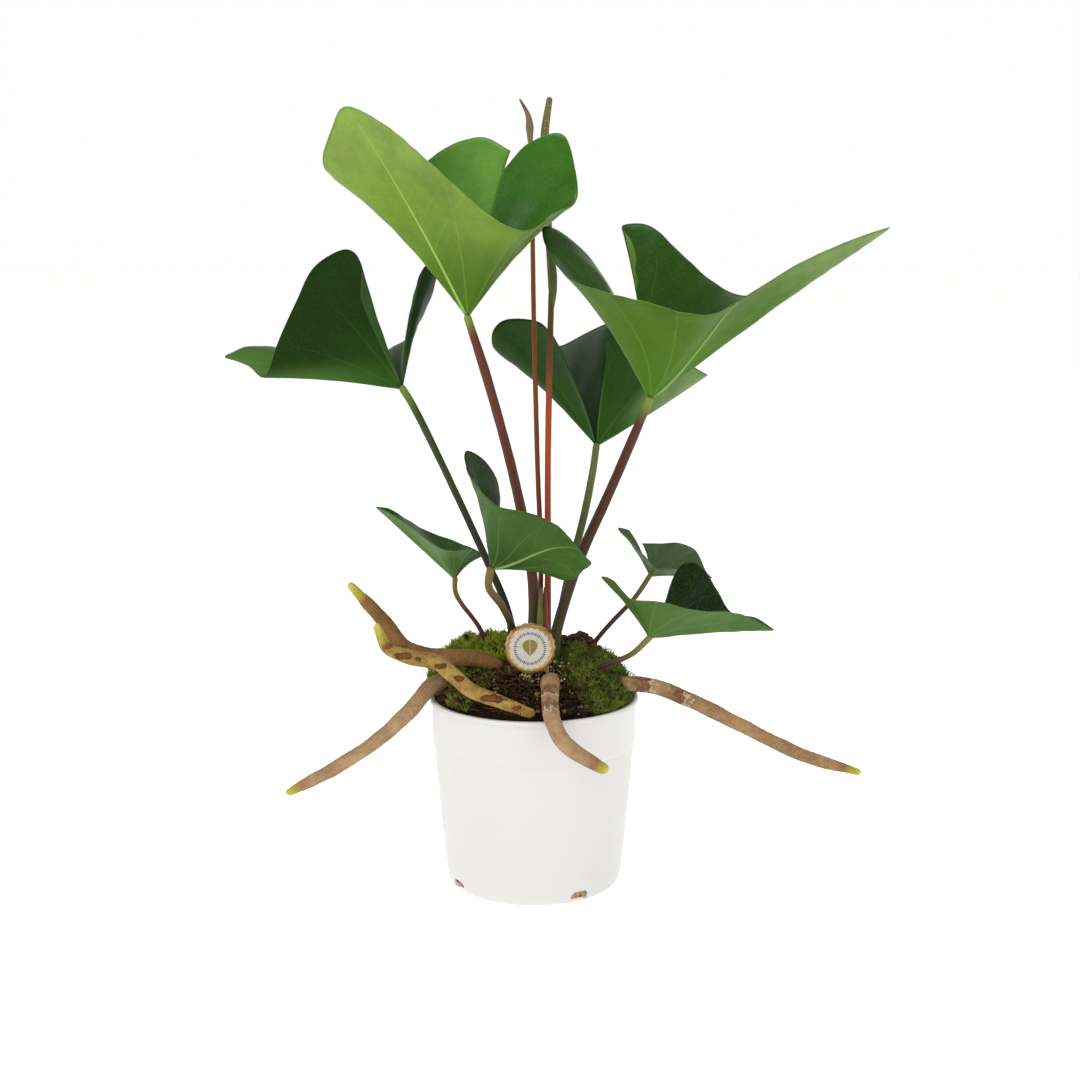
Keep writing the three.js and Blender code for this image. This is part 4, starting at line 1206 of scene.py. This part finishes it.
def tag_face():
    # cream enamel, printed on the tinplate and varnished: a pale warm face, slightly soiled,
    # under a thin clear coat
    def cream(tree):
        soiled = add(tree, "ramp", speckle(tree, 2.5), 0.4, 0.7, 0.0, 0.5)
        return {"Base Color": add(tree, "mix", soiled, "#B3AEA1", "#9D9788"), "Roughness": 0.4,
                "Coat Weight": 0.3, "Coat Roughness": 0.2}

    # the printed face reaches into the gaps between the flutes as small scallops
    def scallops(angle, radius, height):
        return radius + 0.35 * (radius > 10) * np.cos(FLUTES * angle), height

    bm = bmesh.new()
    moved_grid(bm, tag_places(turned(FACE_OUTLINE, FLUTES * 12, scallops)))
    finished(new_object("cap_face", bm, finish("cream printed face", cream)), "cream_print", "tag_face")
    bm = bmesh.new()
    leaf_emblem(bm)
    emblem_ink = ink("olive gold ink", "#7C6B30", metallic=0.3, roughness=0.45)
    finished(new_object("leaf_emblem", bm, emblem_ink), "gold_metal")


def tag_stake():
    # polypropylene, moulded and dyed through: one dull green with a soft highlight
    def plastic(tree):
        return {"Base Color": "#4F5F28", "Roughness": 0.45}

    low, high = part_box("tag_stake")
    middle = (low.x + high.x) / 2
    top = Vector((middle, low.y + STAKE_RADIUS * MM, high.z)) / MM
    foot = Vector((middle, high.y - STAKE_RADIUS * MM, low.z)) / MM
    stake = rod("stake", [foot, (foot + top) / 2, top], [STAKE_RADIUS, STAKE_RADIUS],
                finish("green plastic stake", plastic), sides=16)
    finished(stake, "green_plastic", "tag_stake")


def printed_ticks():
    """A ring of plain printed ticks round the emblem, every second one longer."""
    bm = bmesh.new()
    for i in range(TICKS):
        a = 2 * math.pi * i / TICKS
        length = 1.6 if i % 2 else 1.0
        for vert in bmesh.ops.create_cube(bm, size=1.0)["verts"]:
            r = TICK_RADIUS + vert.co.x * length
            t = vert.co.y * 0.5
            z = 0.58 + vert.co.z * 0.12
            spot = np.array([r * math.cos(a) - t * math.sin(a), r * math.sin(a) + t * math.cos(a), z])
            vert.co = tag_places(spot) * MM
    finished(new_object("printed_ticks", bm, ink("slate ink", "#252A30")), "cream_print")


def leaf_emblem(bm):
    """A raised heart-shaped leaf with a stalk and a split midrib."""
    rows, half_rows = 24, 10
    for hand in (-1, 1):
        places = np.zeros((half_rows + 1, rows * 2 + 1, 3))
        for j in range(rows * 2 + 1):
            t = j / (rows * 2)
            y = 5.0 - 9.8 * t
            wide = 4.3 * math.sin(math.pi * t ** 0.7) ** 0.8 + 0.001
            for i in range(half_rows + 1):
                across = i / half_rows
                x = hand * (0.22 + across * max(wide - 0.22, 0))
                dome = 0.18 * math.sqrt(max(0, 1 - across ** 2)) * min(1, wide)
                places[i, j] = (x, y + 0.9 * across * t, 0.52 + dome)
        moved_grid(bm, tag_places(places))


# ---------------------------------------------------------------- build it
pot()
soil()
crown()
litter_spots = [moss(moss_name, **moss_spec) for moss_name, moss_spec in MOSSES.items()]
soil_bits(litter_spots)
for leaf_name, leaf_spec in LEAVES.items():
    leaf_blade(leaf_name, **leaf_spec)
for stalk_name, stalk_spec in STALKS.items():
    leaf_stalk(stalk_name, **stalk_spec)
for part_name, part_spec in FLOWER_PARTS.items():
    flower_part(part_name, *part_spec)
spadix()
for root_name, root_spec in ROOTS.items():
    aerial_root(root_name, **root_spec)
tag_cap()
tag_face()
tag_stake()
printed_ticks()


# ---------------------------------------------------------------- stage, light and camera
def stage():
    """A wide floor under the pot."""

    # painted board, rolled on matt: no gleam, and so bright that only soft shadows show
    def build(tree):
        return {"Base Color": "#F4F4F2", "Roughness": 0.9, "Specular IOR Level": 0.1,
                "Emission Color": "#FFFFFF", "Emission Strength": 0.53}

    bm = bmesh.new()
    bmesh.ops.create_grid(bm, x_segments=1, y_segments=1, size=12)
    floor = new_object("floor", bm, finish("pale studio floor", build), outward=False)


def lamp(name, place, aim, size, power, colour="#FFFFFF"):
    light = bpy.data.lights.new(name, "AREA")
    light.shape = "SQUARE"
    light.size = size
    light.energy = power
    light.color = linear(colour)[:3]
    holder = bpy.data.objects.new(name, light)
    holder.location = place
    holder.rotation_euler = (Vector(aim) - Vector(place)).to_track_quat("-Z", "Y").to_euler()
    bpy.context.collection.objects.link(holder)


def studio():
    world = bpy.data.worlds.new("studio")
    world.use_nodes = True
    tree = world.node_tree
    backdrop = tree.nodes["Background"]
    backdrop.inputs["Color"].default_value = linear("#FFFFFF")
    # white walls all round, and a dimmer ceiling that leaves the lamps to light the leaves
    height = add(tree, "height", add(tree, "direction"))
    tree.links.new(add(tree, "ramp", height, 0.22, 0.55, 1.0, 0.42), backdrop.inputs["Strength"])
    bpy.context.scene.world = world
    lamp("key", (-0.9, -1.3, 1.5), (0, 0, 0.25), 0.8, 17)
    lamp("fill", (1.3, -0.9, 0.8), (0, 0, 0.25), 1.0, 4.5)
    lamp("top", (0.2, 0.5, 1.7), (0, 0, 0.3), 0.8, 10)
    camera = bpy.data.cameras.new("camera")
    camera.sensor_width = 36
    camera.lens = 59.7
    holder = bpy.data.objects.new("camera", camera)
    holder.location = (0.0035, -1.0, 0.38)
    holder.rotation_euler = (math.radians(90 - 10.2), 0, 0)
    bpy.context.collection.objects.link(holder)
    bpy.context.scene.camera = holder
    bpy.context.scene.view_settings.view_transform = "Standard"


stage()
studio()
